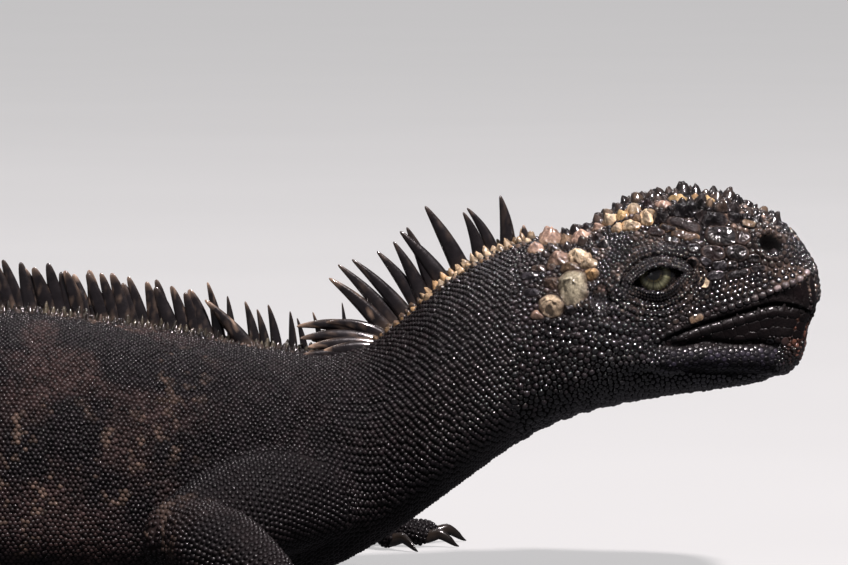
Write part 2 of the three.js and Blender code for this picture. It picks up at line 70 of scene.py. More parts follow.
def profile(knots):
    """A smooth curve through (position, value) knots that never overshoots them."""
    x, y = np.array(knots, float).T
    slope = np.diff(y) / np.diff(x)
    product = slope[:-1] * slope[1:]
    total = np.where(product > 0, slope[:-1] + slope[1:], 1)
    inner = np.where(product > 0, 2 * product / total, 0)
    tangent = np.concatenate([slope[:1], inner, slope[-1:]])

    def at(place):
        place = np.clip(place, x[0], x[-1])
        i = np.clip(np.searchsorted(x, place, side="right") - 1, 0, len(x) - 2)
        width = x[i + 1] - x[i]
        t = (place - x[i]) / width
        rise = y[i + 1] - y[i]
        bend = (tangent[i] + tangent[i + 1]) * width - 2 * rise
        lift = 3 * rise - (2 * tangent[i] + tangent[i + 1]) * width
        return y[i] + t * (tangent[i] * width + t * (lift + t * bend))

    return at


top_line = profile([
    (0, 88), (0.4, 91.5), (1.3, 95.2), (3.7, 99.6), (8.6, 106), (14, 109.4), (24, 112.3), (38, 114.5),
    (50, 113.4), (57, 111.6), (64, 108.6), (72, 105.2), (80, 102.8), (90, 100.4), (102, 95), (114, 86.5),
    (126, 76), (136, 69.5), (148, 67.5), (205, 75), (246, 79.5), (290, 77.5), (335, 68), (375, 56),
    (400, 50), (450, 44), (540, 37), (650, 30), (780, 21), (900, 11.5), (990, 3),
])
bottom_line = profile([
    (0, 86), (1, 80), (2.4, 72), (5, 66.5), (8.5, 63.8), (20, 60.5), (45, 57), (62, 54), (76, 50), (90, 43),
    (105, 32.5), (120, 21.5), (135, 11.5), (150, 4), (165, -1), (180, -3), (350, -3),
    (390, -1.2), (990, -0.6),
])
half_width = profile([
    (0.4, 9), (1.5, 13), (4, 17), (9, 20), (18, 22), (30, 23.5), (42, 26), (52, 28),
    (64, 30), (76, 29.5), (90, 28.5), (104, 29.5), (118, 32.5), (132, 37), (150, 42.5),
    (175, 48), (215, 55), (255, 58), (300, 54), (340, 44), (375, 33), (400, 27),
    (450, 20), (540, 13.5), (650, 9), (780, 6), (900, 3.6), (990, 1.2),
])
widest_share = profile([
    (0, 0.5), (30, 0.48), (60, 0.42), (100, 0.48), (150, 0.42), (200, 0.36),
    (330, 0.36), (400, 0.42), (990, 0.45),
])
roundness = profile([(0, 0.85), (20, 0.8), (60, 0.82), (90, 0.92), (160, 0.86), (350, 0.88), (420, 1)])
keel = profile([(78, 0), (90, 2.2), (130, 2.2), (148, 1.6), (200, 2), (400, 2), (600, 1.4), (990, 0.4)])
mouth_line = profile([
    (-4, 79), (2.4, 81.9), (7.5, 84.4), (13.5, 85.2), (20.4, 83.8), (29, 81.4),
    (36.3, 79.4), (46.8, 75), (58, 70.6), (JAW_END, 67.4),
])
lip_ridge = profile([
    (0, 95.5), (3.6, 94.5), (6, 92.8), (11.7, 90.6), (21, 86.8), (31.2, 83.4), (38.1, 81), (47, 76.5),
])


def smooth(value, start, end):
    t = np.clip((value - start) / (end - start), 0, 1)
    return t * t * (3 - 2 * t)


def window(value, start, full, fade, end):
    """Rises from 0 at start to 1 at full, and falls again from fade to end."""
    return smooth(value, start, full) * (1 - smooth(value, fade, end))


def hump(distance, width):
    return np.exp(-((distance / width) ** 2))


def blended_max(a, b, reach):
    return np.maximum(a, b) + np.maximum(reach - np.abs(a - b), 0) ** 2 / (4 * reach)


def unit(vectors):
    return vectors / np.maximum(np.linalg.norm(vectors, axis=-1, keepdims=True), 1e-9)


def running_total(steps):
    return np.concatenate([[0], np.cumsum(steps)])


def once_round(count, shift=0):
    """Even angles once round, shifted by shares of the gap between them."""
    return 2 * math.pi * (np.arange(count) + shift) / count


def level_way(turn):
    return np.array([math.cos(turn), math.sin(turn), 0])


def tilted(forward, up, degrees):
    """A place's coordinates along axes that are tilted up by an angle."""
    tilt = math.radians(degrees)
    return forward * math.cos(tilt) + up * math.sin(tilt), up * math.cos(tilt) - forward * math.sin(tilt)


def heading(behind):
    """How far the body turns from the frame's x axis as it sways."""
    swing = np.sin(2 * math.pi * (behind - SWAY_START) / SWAY_WAVELENGTH)
    return math.radians(SWAY_DEGREES) * smooth(behind, SWAY_START, SWAY_FULL) * swing


PATH_STEP = 1
PATH_SPARE = 11
path_marks = np.arange(0, TAIL_END + PATH_SPARE, PATH_STEP, dtype=float)
path_turns = heading(path_marks[:-1] + PATH_STEP / 2)
path_x = SNOUT_X - running_total(np.cos(path_turns)) * PATH_STEP
path_y = -running_total(np.sin(path_turns)) * PATH_STEP


def place_on_body(behind, left, height):
    """Points given by their distance behind the snout, to the left and above the floor."""
    turn = heading(behind)
    x = np.interp(behind, path_marks, path_x) - left * np.sin(turn)
    y = np.interp(behind, path_marks, path_y) + left * np.cos(turn)
    return np.stack(np.broadcast_arrays(x, y, height), -1)


def section(behind, angle):
    """The trunk's outline across the body. An angle of 0 is the left side and 90 degrees the back."""
    top, bottom = top_line(behind), bottom_line(behind)
    widest = bottom + widest_share(behind) * (top - bottom)
    power = roundness(behind)
    across, rise = np.cos(angle), np.sin(angle)
    across = np.sign(across) * np.abs(across) ** power
    ridge = keel(behind) * np.maximum(rise, 0) ** 24
    rise = np.sign(rise) * np.abs(rise) ** power
    height = widest + rise * np.where(rise > 0, top - widest, widest - bottom) + ridge
    return half_width(behind) * across, np.maximum(height, 0)


def side_distance(behind, height):
    """How far the trunk's side lies from its middle at a height."""
    top, bottom = top_line(behind), bottom_line(behind)
    widest = bottom + widest_share(behind) * (top - bottom)
    reach = np.where(height > widest, top - widest, widest - bottom)
    share = np.clip(np.abs(height - widest) / np.maximum(reach, 0.01), 0, 1)
    rise = np.arcsin(share ** (1 / roundness(behind)))
    return half_width(behind) * np.cos(rise) ** roundness(behind)


LATTICE_SIZE = 32
lattice = np.random.default_rng(5).random((LATTICE_SIZE,) * 3)


def noise(points, size, shift=0.0):
    """Smooth noise from 0 to 1, with lumps of about the given size."""
    place = points / size + shift
    cell = np.floor(place).astype(int)
    t = place - cell
    t = t * t * (3 - 2 * t)
    total = 0
    for corner in range(8):
        step = np.array([corner & 1, corner >> 1 & 1, corner >> 2 & 1])
        i, j, k = np.moveaxis((cell + step) % LATTICE_SIZE, -1, 0)
        weight = np.prod(np.where(step, t, 1 - t), axis=-1)
        total = total + weight * lattice[i, j, k]
    return total


# The head's own forms

eye_side = float(side_distance(EYE["behind"], EYE["height"]))
eye_y = eye_side - EYE["depth"]


def eye_local(behind, height):
    """Places about the eye: forward along the opening, and up across it."""
    return tilted(EYE["behind"] - behind, height - EYE["height"], EYE["slope"])


def lid_edge(share):
    """The almond between the lids, once round from the rear corner over the top."""
    share = np.asarray(share, float) % 1
    along = np.where(share < 0.5, share * 2, 2 - share * 2)
    bulge = np.sin(math.pi * along)
    up = np.where(share < 0.5, EYE_OPENING["upper"] * bulge, -EYE_OPENING["lower"] * bulge)
    return EYE_OPENING["half_length"] * (2 * along - 1), up


def lid_distance(behind, height):
    """How far a place lies outside the edge of the lids, and whether it is above them."""
    forward, up = eye_local(behind, height)
    edge_forward, edge_up = lid_edge(np.arange(0, 1, 1 / 64))
    gap = np.hypot(forward[..., None] - edge_forward, up[..., None] - edge_up).min(-1)
    along = np.clip(forward / EYE_OPENING["half_length"], -1, 1)
    bulge = np.sin(math.pi * (along + 1) / 2)
    inside = (up < EYE_OPENING["upper"] * bulge) & (up > -EYE_OPENING["lower"] * bulge)
    return np.where(inside, -gap, gap), up


def nostril_share(behind, height):
    """1 at the edge of the nostril, less inside it."""
    along, across = tilted(NOSTRIL["behind"] - behind, height - NOSTRIL["height"], NOSTRIL["tilt"])
    return np.hypot(along / NOSTRIL["long"], across / NOSTRIL["tall"])


def ear_share(behind, height):
    """1 at the edge of the ear, less inside it."""
    return np.hypot((behind - EAR["behind"]) / EAR["long"], (height - EAR["height"]) / EAR["tall"])


# The roll of skin under the jaw and the creases beside it.
# Each is [lift, how far above the roll, width, where it starts, is full, fades and ends].
JAW_ROLL = [(2.6, 0, 3.1, 8, 15, 48, 64), (-1.5, 4.4, 1.1, 9, 16, 46, 54), (-1.0, -5.2, 1.3, 9, 15, 50, 66)]


def sculpt_head(behind, left, height, out):
    """Moves the head's points: jaw, lips, orbits, lids, nostrils, ears and folds."""
    side = np.sign(left) + (left == 0)
    # The lower jaw sits back from the upper lip.
    below = smooth(mouth_line(behind) - height, -0.2, 1.2)
    near = 1 - smooth(behind, 40, JAW_END)
    narrow = np.interp(behind, [0, 45], [0.9, 0.985])
    left = left * (1 - (1 - narrow) * below * near)
    behind = behind + JAW_SETBACK * below * (1 - smooth(behind, 0, 14))
    # The orbit and the lids stand out from the side as two balls.
    reach = np.hypot(EYE["behind"] - behind, height - EYE["height"])
    orbit = eye_side - ORBIT["depth"] + np.sqrt(np.maximum(ORBIT["radius"] ** 2 - reach**2, 0))
    orbit = orbit - 2 * np.maximum(reach - ORBIT["radius"], 0)
    lid_radius = EYE["radius"] + EYE["lid"]
    lids = eye_y + np.sqrt(np.maximum(lid_radius**2 - reach**2, 0)) - 2 * np.maximum(reach - lid_radius, 0)
    bulged = blended_max(blended_max(np.abs(left), orbit, 2.2), lids, 1.1)
    sidelong = smooth(np.abs(left), 8, 14)
    moved = np.abs(left) + (bulged - np.abs(left)) * sidelong
    left = side * moved
    # Along the skin: lips, creases, nostril, ear and folds.
    push = np.zeros_like(height)
    mouth = height - mouth_line(behind)
    at_mouth = 1 - smooth(behind, MOUTH_CORNER - 3, MOUTH_CORNER + 3)
    push -= 1.9 * hump(mouth, 0.55) * at_mouth
    push += 1.0 * hump(height - lip_ridge(behind), 1.7) * at_mouth * (0.3 + 0.7 * smooth(behind, 1, 7))
    push -= 0.5 * hump(mouth - 2.6, 1.6) * at_mouth
    push += 0.7 * hump(mouth + 2.2, 1.5) * at_mouth
    roll = height - np.interp(behind, [6, 12, 20, 49, 60], [66.6, 67.2, 68.4, 69.6, 69])
    lumps = noise(np.stack([behind, left, height], -1), 6.5) - 0.5
    roll = roll + 0.4 * np.sin(behind * 0.31) + 1.6 * lumps
    for lift, above, wide, *where in JAW_ROLL:
        push += lift * hump(roll - above, wide) * window(behind, *where)
    push += 1.5 * hump(behind - 62, 10) * hump(height - 74, 8)
    push -= 1.1 * hump(behind - 31, 8) * hump(height - 95, 5) * sidelong
    nostril = nostril_share(behind, height)
    faces_side = np.abs(left) > 3
    push -= NOSTRIL["deep"] * (1 - smooth(nostril, 0.45, 1.08)) * faces_side
    push += 1.0 * hump(nostril - 1.4, 0.33) * faces_side
    ear = ear_share(behind, height)
    push -= EAR["deep"] * (1 - smooth(ear, 0.75, 1.05))
    push += 0.5 * hump(ear - 1.25, 0.2)
    edge, above = lid_distance(behind, height)
    near_eye = sidelong * (reach < 16)
    upper = np.where(above > 0, 1, 0)
    push -= 1.5 * hump(edge - 3.45, 0.5) * upper * near_eye
    push += 0.7 * hump(edge - 5.2, 1.1) * upper * near_eye
    push += (0.3 + 0.75 * upper) * hump(edge - 0.4, 0.75) * near_eye
    for fold, deep in ((2.9, 0.8), (5.4, 0.7), (7.7, 0.7)):
        push -= deep * hump(edge - fold, 0.5) * (1 - upper) * near_eye
        push += 0.6 * deep * hump(edge - fold - 1.15, 0.7) * (1 - upper) * near_eye
    # Folds that run back from the eye over the temple and the cheek.
    place = np.stack([behind * 0.45, left, height], -1)
    fold = np.sin(1.35 * (height - 0.16 * behind) + 5 * noise(place, 9))
    push += 0.42 * fold * window(behind, 52, 60, 80, 92) * window(height, 66, 74, 92, 99) * sidelong
    # The top of the head is raised and uneven.
    push += 2.3 * smooth(height, 105, 112) * window(behind, 14, 26, 60, 76)
    push += 1.3 * (noise(place, 4.2) - 0.5) * smooth(height, 99, 105) * smooth(behind, 12, 24)
    # Wrinkles behind the jaw and across the throat.
    uneven = 3 * noise(np.stack([behind, left, height], -1), 14)
    wrinkle = np.sin(behind * 1.1 + 0.35 * (height - 70) + uneven)
    push += 0.22 * wrinkle * (1 - smooth(height, 74, 82)) * window(behind, 48, 60, 84, 100)
    behind = behind - out[..., 0] * push
    left = left + out[..., 1] * push
    height = height + out[..., 2] * push
    # The pocket that the eyeball fills.
    pocket = eye_y + np.sqrt(np.maximum((EYE["radius"] - 0.9) ** 2 - reach**2, 0))
    inside = (edge < 0) & (near_eye > 0)
    left = np.where(inside, side * np.minimum(np.abs(left), pocket), left)
    return behind, left, height


# Grids of points, and the meshes made from them

def grid_normals(grid):
    """Outward directions of a grid whose second axis runs round and closes on itself."""
    along = np.gradient(grid, axis=0)
    wide = np.concatenate([grid[:, -1:], grid, grid[:, :1]], axis=1)
    around = (wide[:, 2:] - wide[:, :-2]) / 2
    return unit(np.cross(along, around))


def even_angles(behind, count, focus=None):
    """Angles at which one ring's points lie evenly along its outline, or closer where focus says."""
    dense = math.pi / 2 + np.linspace(0, 2 * math.pi, 1441)
    left, height = section(behind, dense)
    length = np.hypot(np.diff(left), np.diff(height))
    if focus is not None:
        length = length * focus(behind, (height[1:] + height[:-1]) / 2)
    total = running_total(length)
    return np.interp(np.arange(count) / count * total[-1], total, dense)


def tube_faces(rings, count, first=0):
    """Quads between rings of equal length, facing out where rings run from head to tail."""
    ring, i = np.meshgrid(np.arange(rings - 1), np.arange(count), indexing="ij")
    a = ring * count + i
    b = ring * count + (i + 1) % count
    return first + np.stack([a, a + count, b + count, b], -1).reshape(-1, 4)


def halved(quads):
    return np.concatenate([quads[:, [0, 1, 2]], quads[:, [0, 2, 3]]])


def make_object(name, points, faces, material, slot, pigment=None, uv=None):
    """A mesh object in metres from millimetre points and faces that all have as many corners."""
    mesh = bpy.data.meshes.new(name)
    faces = np.ascontiguousarray(faces, dtype=np.int32)
    mesh.vertices.add(len(points))
    mesh.vertices.foreach_set("co", (np.asarray(points, float) * MM).astype(np.float32).ravel())
    mesh.loops.add(faces.size)
    mesh.loops.foreach_set("vertex_index", faces.ravel())
    mesh.polygons.add(len(faces))
    mesh.polygons.foreach_set("loop_start", np.arange(0, faces.size, faces.shape[1], dtype=np.int32))
    mesh.polygons.foreach_set("use_smooth", np.ones(len(faces), bool))
    mesh.update(calc_edges=True)
    if pigment is not None:
        paint(mesh, pigment)
    if uv is not None:
        layer = mesh.uv_layers.new(name="OFBake")
        layer.data.foreach_set("uv", uv[faces.ravel()].astype(np.float32).ravel())
    made = bpy.data.objects.new(name, mesh)
    bpy.context.scene.collection.objects.link(made)
    made.data.materials.append(material)
    if slot:
        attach(made, "root")
    return made


def paint(mesh, pigment):
    layer = mesh.color_attributes.new("Pigment", "FLOAT_COLOR", "POINT")
    colours = np.concatenate([pigment, np.ones((len(pigment), 1))], 1)
    layer.data.foreach_set("color", colours.astype(np.float32).ravel())


def closed_tube(grid, ends=None):
    """Points and triangles of a grid of rings, closed by a point in the middle of each end or at ends."""
    rings, count = grid.shape[:2]
    ends = [grid[0].mean(0), grid[-1].mean(0)] if ends is None else ends
    points = np.concatenate([grid.reshape(-1, 3), ends])
    triangles = halved(tube_faces(rings, count))
    i = np.arange(count)
    after = (i + 1) % count
    last = (rings - 1) * count
    cap_start = np.stack([np.full(count, rings * count), i, after], -1)
    cap_end = np.stack([np.full(count, rings * count + 1), last + after, last + i], -1)
    triangles = np.concatenate([triangles, cap_start, cap_end])
    a, b, c = np.moveaxis(points[triangles], 1, 0)
    inside_out = (a * np.cross(b, c)).sum() < 0
    return points, triangles[:, ::-1] if inside_out else triangles


# The trunk: head, neck and body in one grid, and the tail in a coarser one

RING_POINTS = 300
TAIL_COARSER = 3
stations = np.concatenate([
    [0.1, 0.25], np.arange(0.45, 4, 0.25), np.arange(4, 36, 0.4), np.arange(36, 62, 0.26),
    np.arange(62, 80, 0.4), np.arange(80, 134, 0.85), np.arange(134, 392, 1.6),
])
tail_stations = np.concatenate([np.arange(394, 700, 2.2), np.arange(700, TAIL_END, 3)])
SCULPTED_TO = 104
SNOUT_SHARES = (0.12, 0.3, 0.5, 0.7, 0.87)


def eye_focus(behind, height):
    """More than 1 near the eye, where the points lie closer."""
    return 1 + 1.2 * window(behind, 26, 42, 61, 76) * hump(height - EYE["height"], 10)


def make_trunk_grid(stations, count):
    angles = np.array([even_angles(behind, count, eye_focus) for behind in stations])
    behind = np.repeat(stations[:, None], count, 1)
    left, height = section(behind, angles)
    grid = place_on_body(behind, left, height)
    out = grid_normals(grid)
    head = stations < SCULPTED_TO
    if head.any():
        sculpted = sculpt_head(behind[head], left[head], height[head], out[head])
        behind[head], left[head], height[head] = sculpted
    return place_on_body(behind, left, np.maximum(height, 0))


def make_trunk():
    """The closed trunk, from the tip of the snout to the tip of the tail."""
    grid = make_trunk_grid(stations, RING_POINTS)
    tail = make_trunk_grid(tail_stations, RING_POINTS // TAIL_COARSER)
    centre = grid[0].mean(0)
    snout = [centre + (grid[0] - centre) * share + [0.35 * (1 - share**2), 0, 0] for share in SNOUT_SHARES]
    grid = np.concatenate([snout, grid])
    rings, count = grid.shape[:2]
    few = tail.shape[1]
    ends = [grid[0].mean(0), tail[-1].mean(0)]
    points = np.concatenate([grid.reshape(-1, 3), tail.reshape(-1, 3), ends])
    quads = np.concatenate([tube_faces(rings, count), tube_faces(len(tail), few, rings * count)])
    i = np.arange(count)
    fine = (rings - 1) * count + i
    fine_next = (rings - 1) * count + (i + 1) % count
    coarse = rings * count + (i + 1) // TAIL_COARSER % few
    j = np.arange(few)
    fan = np.stack([fine, coarse, fine_next], -1)
    joint = (rings - 1) * count + (j * TAIL_COARSER + TAIL_COARSER - 1) % count
    step = np.stack([joint, rings * count + j, rings * count + (j + 1) % few], -1)
    front = np.stack([np.full(count, len(points) - 2), i, (i + 1) % count], -1)
    last = rings * count + (len(tail) - 1) * few
    back = np.stack([np.full(few, len(points) - 1), last + (j + 1) % few, last + j], -1)
    return points, np.concatenate([halved(quads), fan, step, front, back])


# The legs. Their joints are given as [forward, outward, height] from the girdle's place on the body.

LEGS = [
    dict(side="left", sign=1, girdle=152, kind="fore", turn=22,
         joints=[(2, 28, 30), (-32, 70, 20), (-2, 96, 10)], palm=(8, 102, 5.6)),
    dict(side="right", sign=-1, girdle=152, kind="fore", turn=28,
         joints=[(2, 28, 30), (-36, 66, 20), (-10, 93, 10)], palm=(-1, 100, 5.6)),
    dict(side="left", sign=1, girdle=362, kind="hind", turn=46,
         joints=[(0, 20, 28), (30, 72, 27), (-18, 92, 12)], palm=(-2, 106, 5.8)),
    dict(side="right", sign=-1, girdle=362, kind="hind", turn=52,
         joints=[(0, 20, 28), (24, 74, 26), (-24, 90, 12)], palm=(-9, 105, 5.8)),
]
# Radii run along each length from 0 to 1. The palm is [long, wide, thick], and each toe [degrees, length].
LEG_SIZES = dict(
    fore=dict(
        names=("upper_arm", "forearm", "hand"),
        upper=[(0, 16.5), (0.5, 15.5), (1, 12)], lower=[(0, 11.5), (0.35, 12.6), (1, 8)],
        palm=(13, 11, 6.4), toes=[(-62, 14), (-30, 20), (-4, 24), (22, 23), (58, 15)], toe=3.3, claw=10,
    ),
    hind=dict(
        names=("thigh", "shin", "foot"),
        upper=[(0, 21), (0.45, 20.5), (1, 14)], lower=[(0, 13.5), (0.35, 14.4), (1, 9)],
        palm=(21, 11.5, 6.8), toes=[(-48, 16), (-26, 26), (-8, 35), (10, 42), (46, 25)], toe=3.5, claw=10.5,
    ),
)


def leg_way(leg, degrees=0):
    """The level direction that a leg's part points in, by how far it is turned outward."""
    return level_way(float(heading(leg["girdle"])) + leg["sign"] * math.radians(degrees))


def leg_place(leg, place):
    forward, outward, height = place
    return place_on_body(leg["girdle"], leg["sign"] * outward, height) + forward * leg_way(leg)


def rings_along(centres, directions, across, upright, sides):
    """A grid of elliptical rings, each square to its direction."""
    side = unit(np.cross([0, 0, 1.0], directions))
    up = unit(np.cross(directions, side))
    angle = once_round(sides)
    wide = np.asarray(across)[:, None, None] * np.cos(angle)[None, :, None] * side[:, None]
    tall = np.asarray(upright)[:, None, None] * np.sin(angle)[None, :, None] * up[:, None]
    return centres[:, None] + wide + tall


def limb_grid(start, end, lift, radii):
    """A tapered limb with round ends, bowed up a little between its joints."""
    rings, sides = 36, 44
    radius = profile(radii)
    t = np.linspace(0, 1, rings)
    middle = (start + end) / 2 + [0, 0, lift]
    weights = np.stack([(1 - t) * (1 - 2 * t), 4 * t * (1 - t), t * (2 * t - 1)], -1)
    centres = weights @ np.array([start, middle, end])
    directions = unit(np.gradient(centres, axis=0))
    size = radius(t)
    bend = np.radians(np.arange(84, 8, -12))
    front = centres[0] - directions[0] * size[0] * np.sin(bend)[:, None]
    back = centres[-1] + directions[-1] * size[-1] * np.sin(bend[::-1])[:, None]
    centres = np.concatenate([front, centres, back])
    ends = [np.repeat(directions[i][None], len(bend), 0) for i in (0, -1)]
    directions = np.concatenate([ends[0], directions, ends[1]])
    size = np.concatenate([size[0] * np.cos(bend), size, size[-1] * np.cos(bend[::-1])])
    return rings_along(centres, directions, size, size, sides)


def palm_grid(leg, sizes, palm):
    ahead = leg_way(leg, leg["turn"])
    long, wide, thick = sizes["palm"]
    bend = np.radians(np.linspace(-84, 84, 30))
    centres = palm + ahead * long * np.sin(bend)[:, None]
    directions = np.repeat(ahead[None], len(bend), 0)
    return rings_along(centres, directions, wide * np.cos(bend), thick * np.cos(bend), 36)


def toe_path(leg, sizes, degrees, length):
    """A toe's heading, where it starts, and its height at a distance from the palm's middle."""
    start, r = sizes["palm"][0] * 0.55, sizes["toe"]
    rise = profile([
        (start * 0.5, r * 1.6), (start + length * 0.3, r * 1.9),
        (start + length * 0.66, r * 1.5), (start + length, r),
    ])
    return leg_way(leg, leg["turn"] + degrees), start, rise


def toe_grid(leg, sizes, palm, degrees, length):
    ahead, start, rise = toe_path(leg, sizes, degrees, length)
    t = np.linspace(0, 1, 26)
    reach = start * 0.5 + (start * 0.5 + length) * t
    centres = palm + ahead * reach[:, None]
    centres[:, 2] = rise(reach)
    knuckles = 1 + 0.09 * np.sin(t * math.pi * 5)
    size = sizes["toe"] * (1.12 - 0.3 * t) * knuckles * np.sqrt(np.clip((1.04 - t) * 9, 0, 1))
    return rings_along(centres, unit(np.gradient(centres, axis=0)), size, size, 22)


def claw_grid(leg, sizes, palm, degrees, length):
    """A horn claw that arches forward from its toe and comes down to a point."""
    ahead, start, rise = toe_path(leg, sizes, degrees, length)
    marks = [-0.22, 0, 0.35, 0.7, 1]
    t = np.linspace(marks[0], marks[-1], 18)
    out = t * sizes["claw"]
    size = np.interp(t, marks, [1.7, 1.85, 1.6, 1.05, 0.16])
    arch = np.interp(t, marks, [-0.3, 0, 1.0, 0.85, 0])
    drop = (rise(start + length) - 0.4) * smooth(t, 0.3, 1)
    centres = palm + ahead * (start + length + out)[:, None]
    centres[:, 2] = np.maximum(rise(start + length) + arch - drop, size * 1.15 + 0.05)
    return rings_along(centres, unit(np.gradient(centres, axis=0)), size * 0.8, size * 1.1, 14)


leg_grids = []
for leg in LEGS:
    sizes = LEG_SIZES[leg["kind"]]
    shoulder, elbow, wrist = [leg_place(leg, place) for place in leg["joints"]]
    leg["palm_place"] = leg_place(leg, leg["palm"])
    leg["grids"] = [
        limb_grid(shoulder, elbow, 2, sizes["upper"]),
        limb_grid(elbow, wrist, 1.5, sizes["lower"]),
        palm_grid(leg, sizes, leg["palm_place"]),
    ]
    leg["grids"] += [toe_grid(leg, sizes, leg["palm_place"], *toe) for toe in sizes["toes"]]
    for grid in leg["grids"]:
        grid[..., 2] = np.maximum(grid[..., 2], 0)
    leg_grids += leg["grids"]


# One skin over all the flesh

FILLET = 7
FILLET_PASSES = 24
FILLET_STEP = 0.6
SHARP_TURN = 0.35


def joined_mesh(trunk, tubes):
    """The trunk and the legs' tubes as one closed mesh."""
    body = make_object("skin", *trunk, skin_material, None)
    group = bpy.data.collections.new("limbs")
    limbs = [make_object("limb", *tube, skin_material, None) for tube in tubes]
    for limb in limbs:
        group.objects.link(limb)
    union = body.modifiers.new("union", "BOOLEAN")
    union.operation = "UNION"
    union.operand_type = "COLLECTION"
    union.collection = group
    union.solver = "MANIFOLD"
    seen = body.evaluated_get(bpy.context.evaluated_depsgraph_get())
    mesh = bpy.data.meshes.new_from_object(seen)
    for limb in limbs:
        bpy.data.objects.remove(limb)
    bpy.data.collections.remove(group)
    bpy.data.objects.remove(body)
    mesh.calc_loop_triangles()
    points = np.empty(len(mesh.vertices) * 3, np.float32)
    mesh.vertices.foreach_get("co", points)
    triangles = np.empty(len(mesh.loop_triangles) * 3, np.int32)
    mesh.loop_triangles.foreach_get("vertices", triangles)
    return points.reshape(-1, 3) / MM, triangles.reshape(-1, 3)


def edge_table(triangles):
    """Each edge between two triangles: its two points, and the two triangles."""
    sides = triangles[:, [0, 1, 1, 2, 2, 0]].reshape(-1, 2)
    owner = np.repeat(np.arange(len(triangles)), 3)
    key = np.sort(sides, axis=1).astype(np.int64)
    order = np.argsort(key[:, 0] * (1 << 32) + key[:, 1], kind="stable")
    key, owner = key[order], owner[order]
    pair = np.flatnonzero((key[1:] == key[:-1]).all(1))
    return key[pair], owner[pair], owner[pair + 1]


def tree_of(points):
    tree = kdtree.KDTree(len(points))
    for i, point in enumerate(points):
        tree.insert(point, i)
    tree.balance()
    return tree


def fill_corners(points, triangles):
    """Rounds off the sharp hollows where the limbs and toes were joined on."""
    corners = points[triangles]
    normals = unit(np.cross(corners[:, 1] - corners[:, 0], corners[:, 2] - corners[:, 0]))
    middles = corners.mean(1)
    edges, first, second = edge_table(triangles)
    turned = (normals[first] * normals[second]).sum(1) < math.cos(SHARP_TURN)
    hollow = ((middles[second] - middles[first]) * normals[first]).sum(1) > 0
    ends = points[edges].mean(1)
    corner = ends[turned & hollow & (ends[:, 0] < SNOUT_X - SCULPTED_TO)]
    tree = tree_of(corner)
    near = np.flatnonzero(points[:, 0] < SNOUT_X - SCULPTED_TO + FILLET)
    gap = np.array([tree.find(points[i])[2] for i in near])
    weight = np.zeros(len(points))
    weight[near] = 1 - smooth(gap, FILLET * 0.25, FILLET)
    use = edges[(weight[edges] > 0).any(1)]
    count = np.bincount(use.ravel(), minlength=len(points))
    for _ in range(FILLET_PASSES):
        total = np.stack([
            np.bincount(use[:, 0], points[use[:, 1], axis], len(points))
            + np.bincount(use[:, 1], points[use[:, 0], axis], len(points)) for axis in range(3)
        ], -1)
        moved = total / np.maximum(count, 1)[:, None] - points
        points = points + FILLET_STEP * weight[:, None] * moved
    points[:, 2] = np.maximum(points[:, 2], 0)
    return points


# Materials

def node_tree(name):
    material = bpy.data.materials.new(name)
    material.use_nodes = True
    tree = material.node_tree
    shader = tree.nodes["Principled BSDF"]
    return material, tree, shader


def link(tree, source, output, target, socket):
    tree.links.new(source.outputs[output], target.inputs[socket])


def set_inputs(node, values):
    for socket, value in values.items():
        node.inputs[socket].default_value = value


def add_node(tree, kind, values=None, operation=None):
    """A node of the given kind, with values in its inputs."""
    made = tree.nodes.new(kind)
    if operation:
        made.operation = operation
    set_inputs(made, values or {})
    return made


def noise_node(tree, scale, detail=4.0, roughness=0.55):
    """Noise over the object's own coordinates, in lumps per metre."""
    made = add_node(tree, "ShaderNodeTexNoise", {"Scale": scale, "Detail": detail, "Roughness": roughness})
    link(tree, add_node(tree, "ShaderNodeTexCoord"), "Object", made, "Vector")
    return made


def spread(tree, source, output, low, high, start=0.3, end=0.7):
    """The source's values from start to end, stretched to go from low to high."""
    ends = {"From Min": start, "From Max": end, "To Min": low, "To Max": high}
    made = add_node(tree, "ShaderNodeMapRange", ends)
    link(tree, source, output, made, "Value")
    return made


def scaled(tree, colour, output, level):
    """A colour made darker or lighter by a level."""
    made = add_node(tree, "ShaderNodeVectorMath", operation="SCALE")
    link(tree, colour, output, made, 0)
    link(tree, level, "Result", made, "Scale")
    return made


# The head is wet as far back as WET_BEHIND, and the body is nearly dry from DRY_BEHIND.
WET_BEHIND = 66
DRY_BEHIND = 122


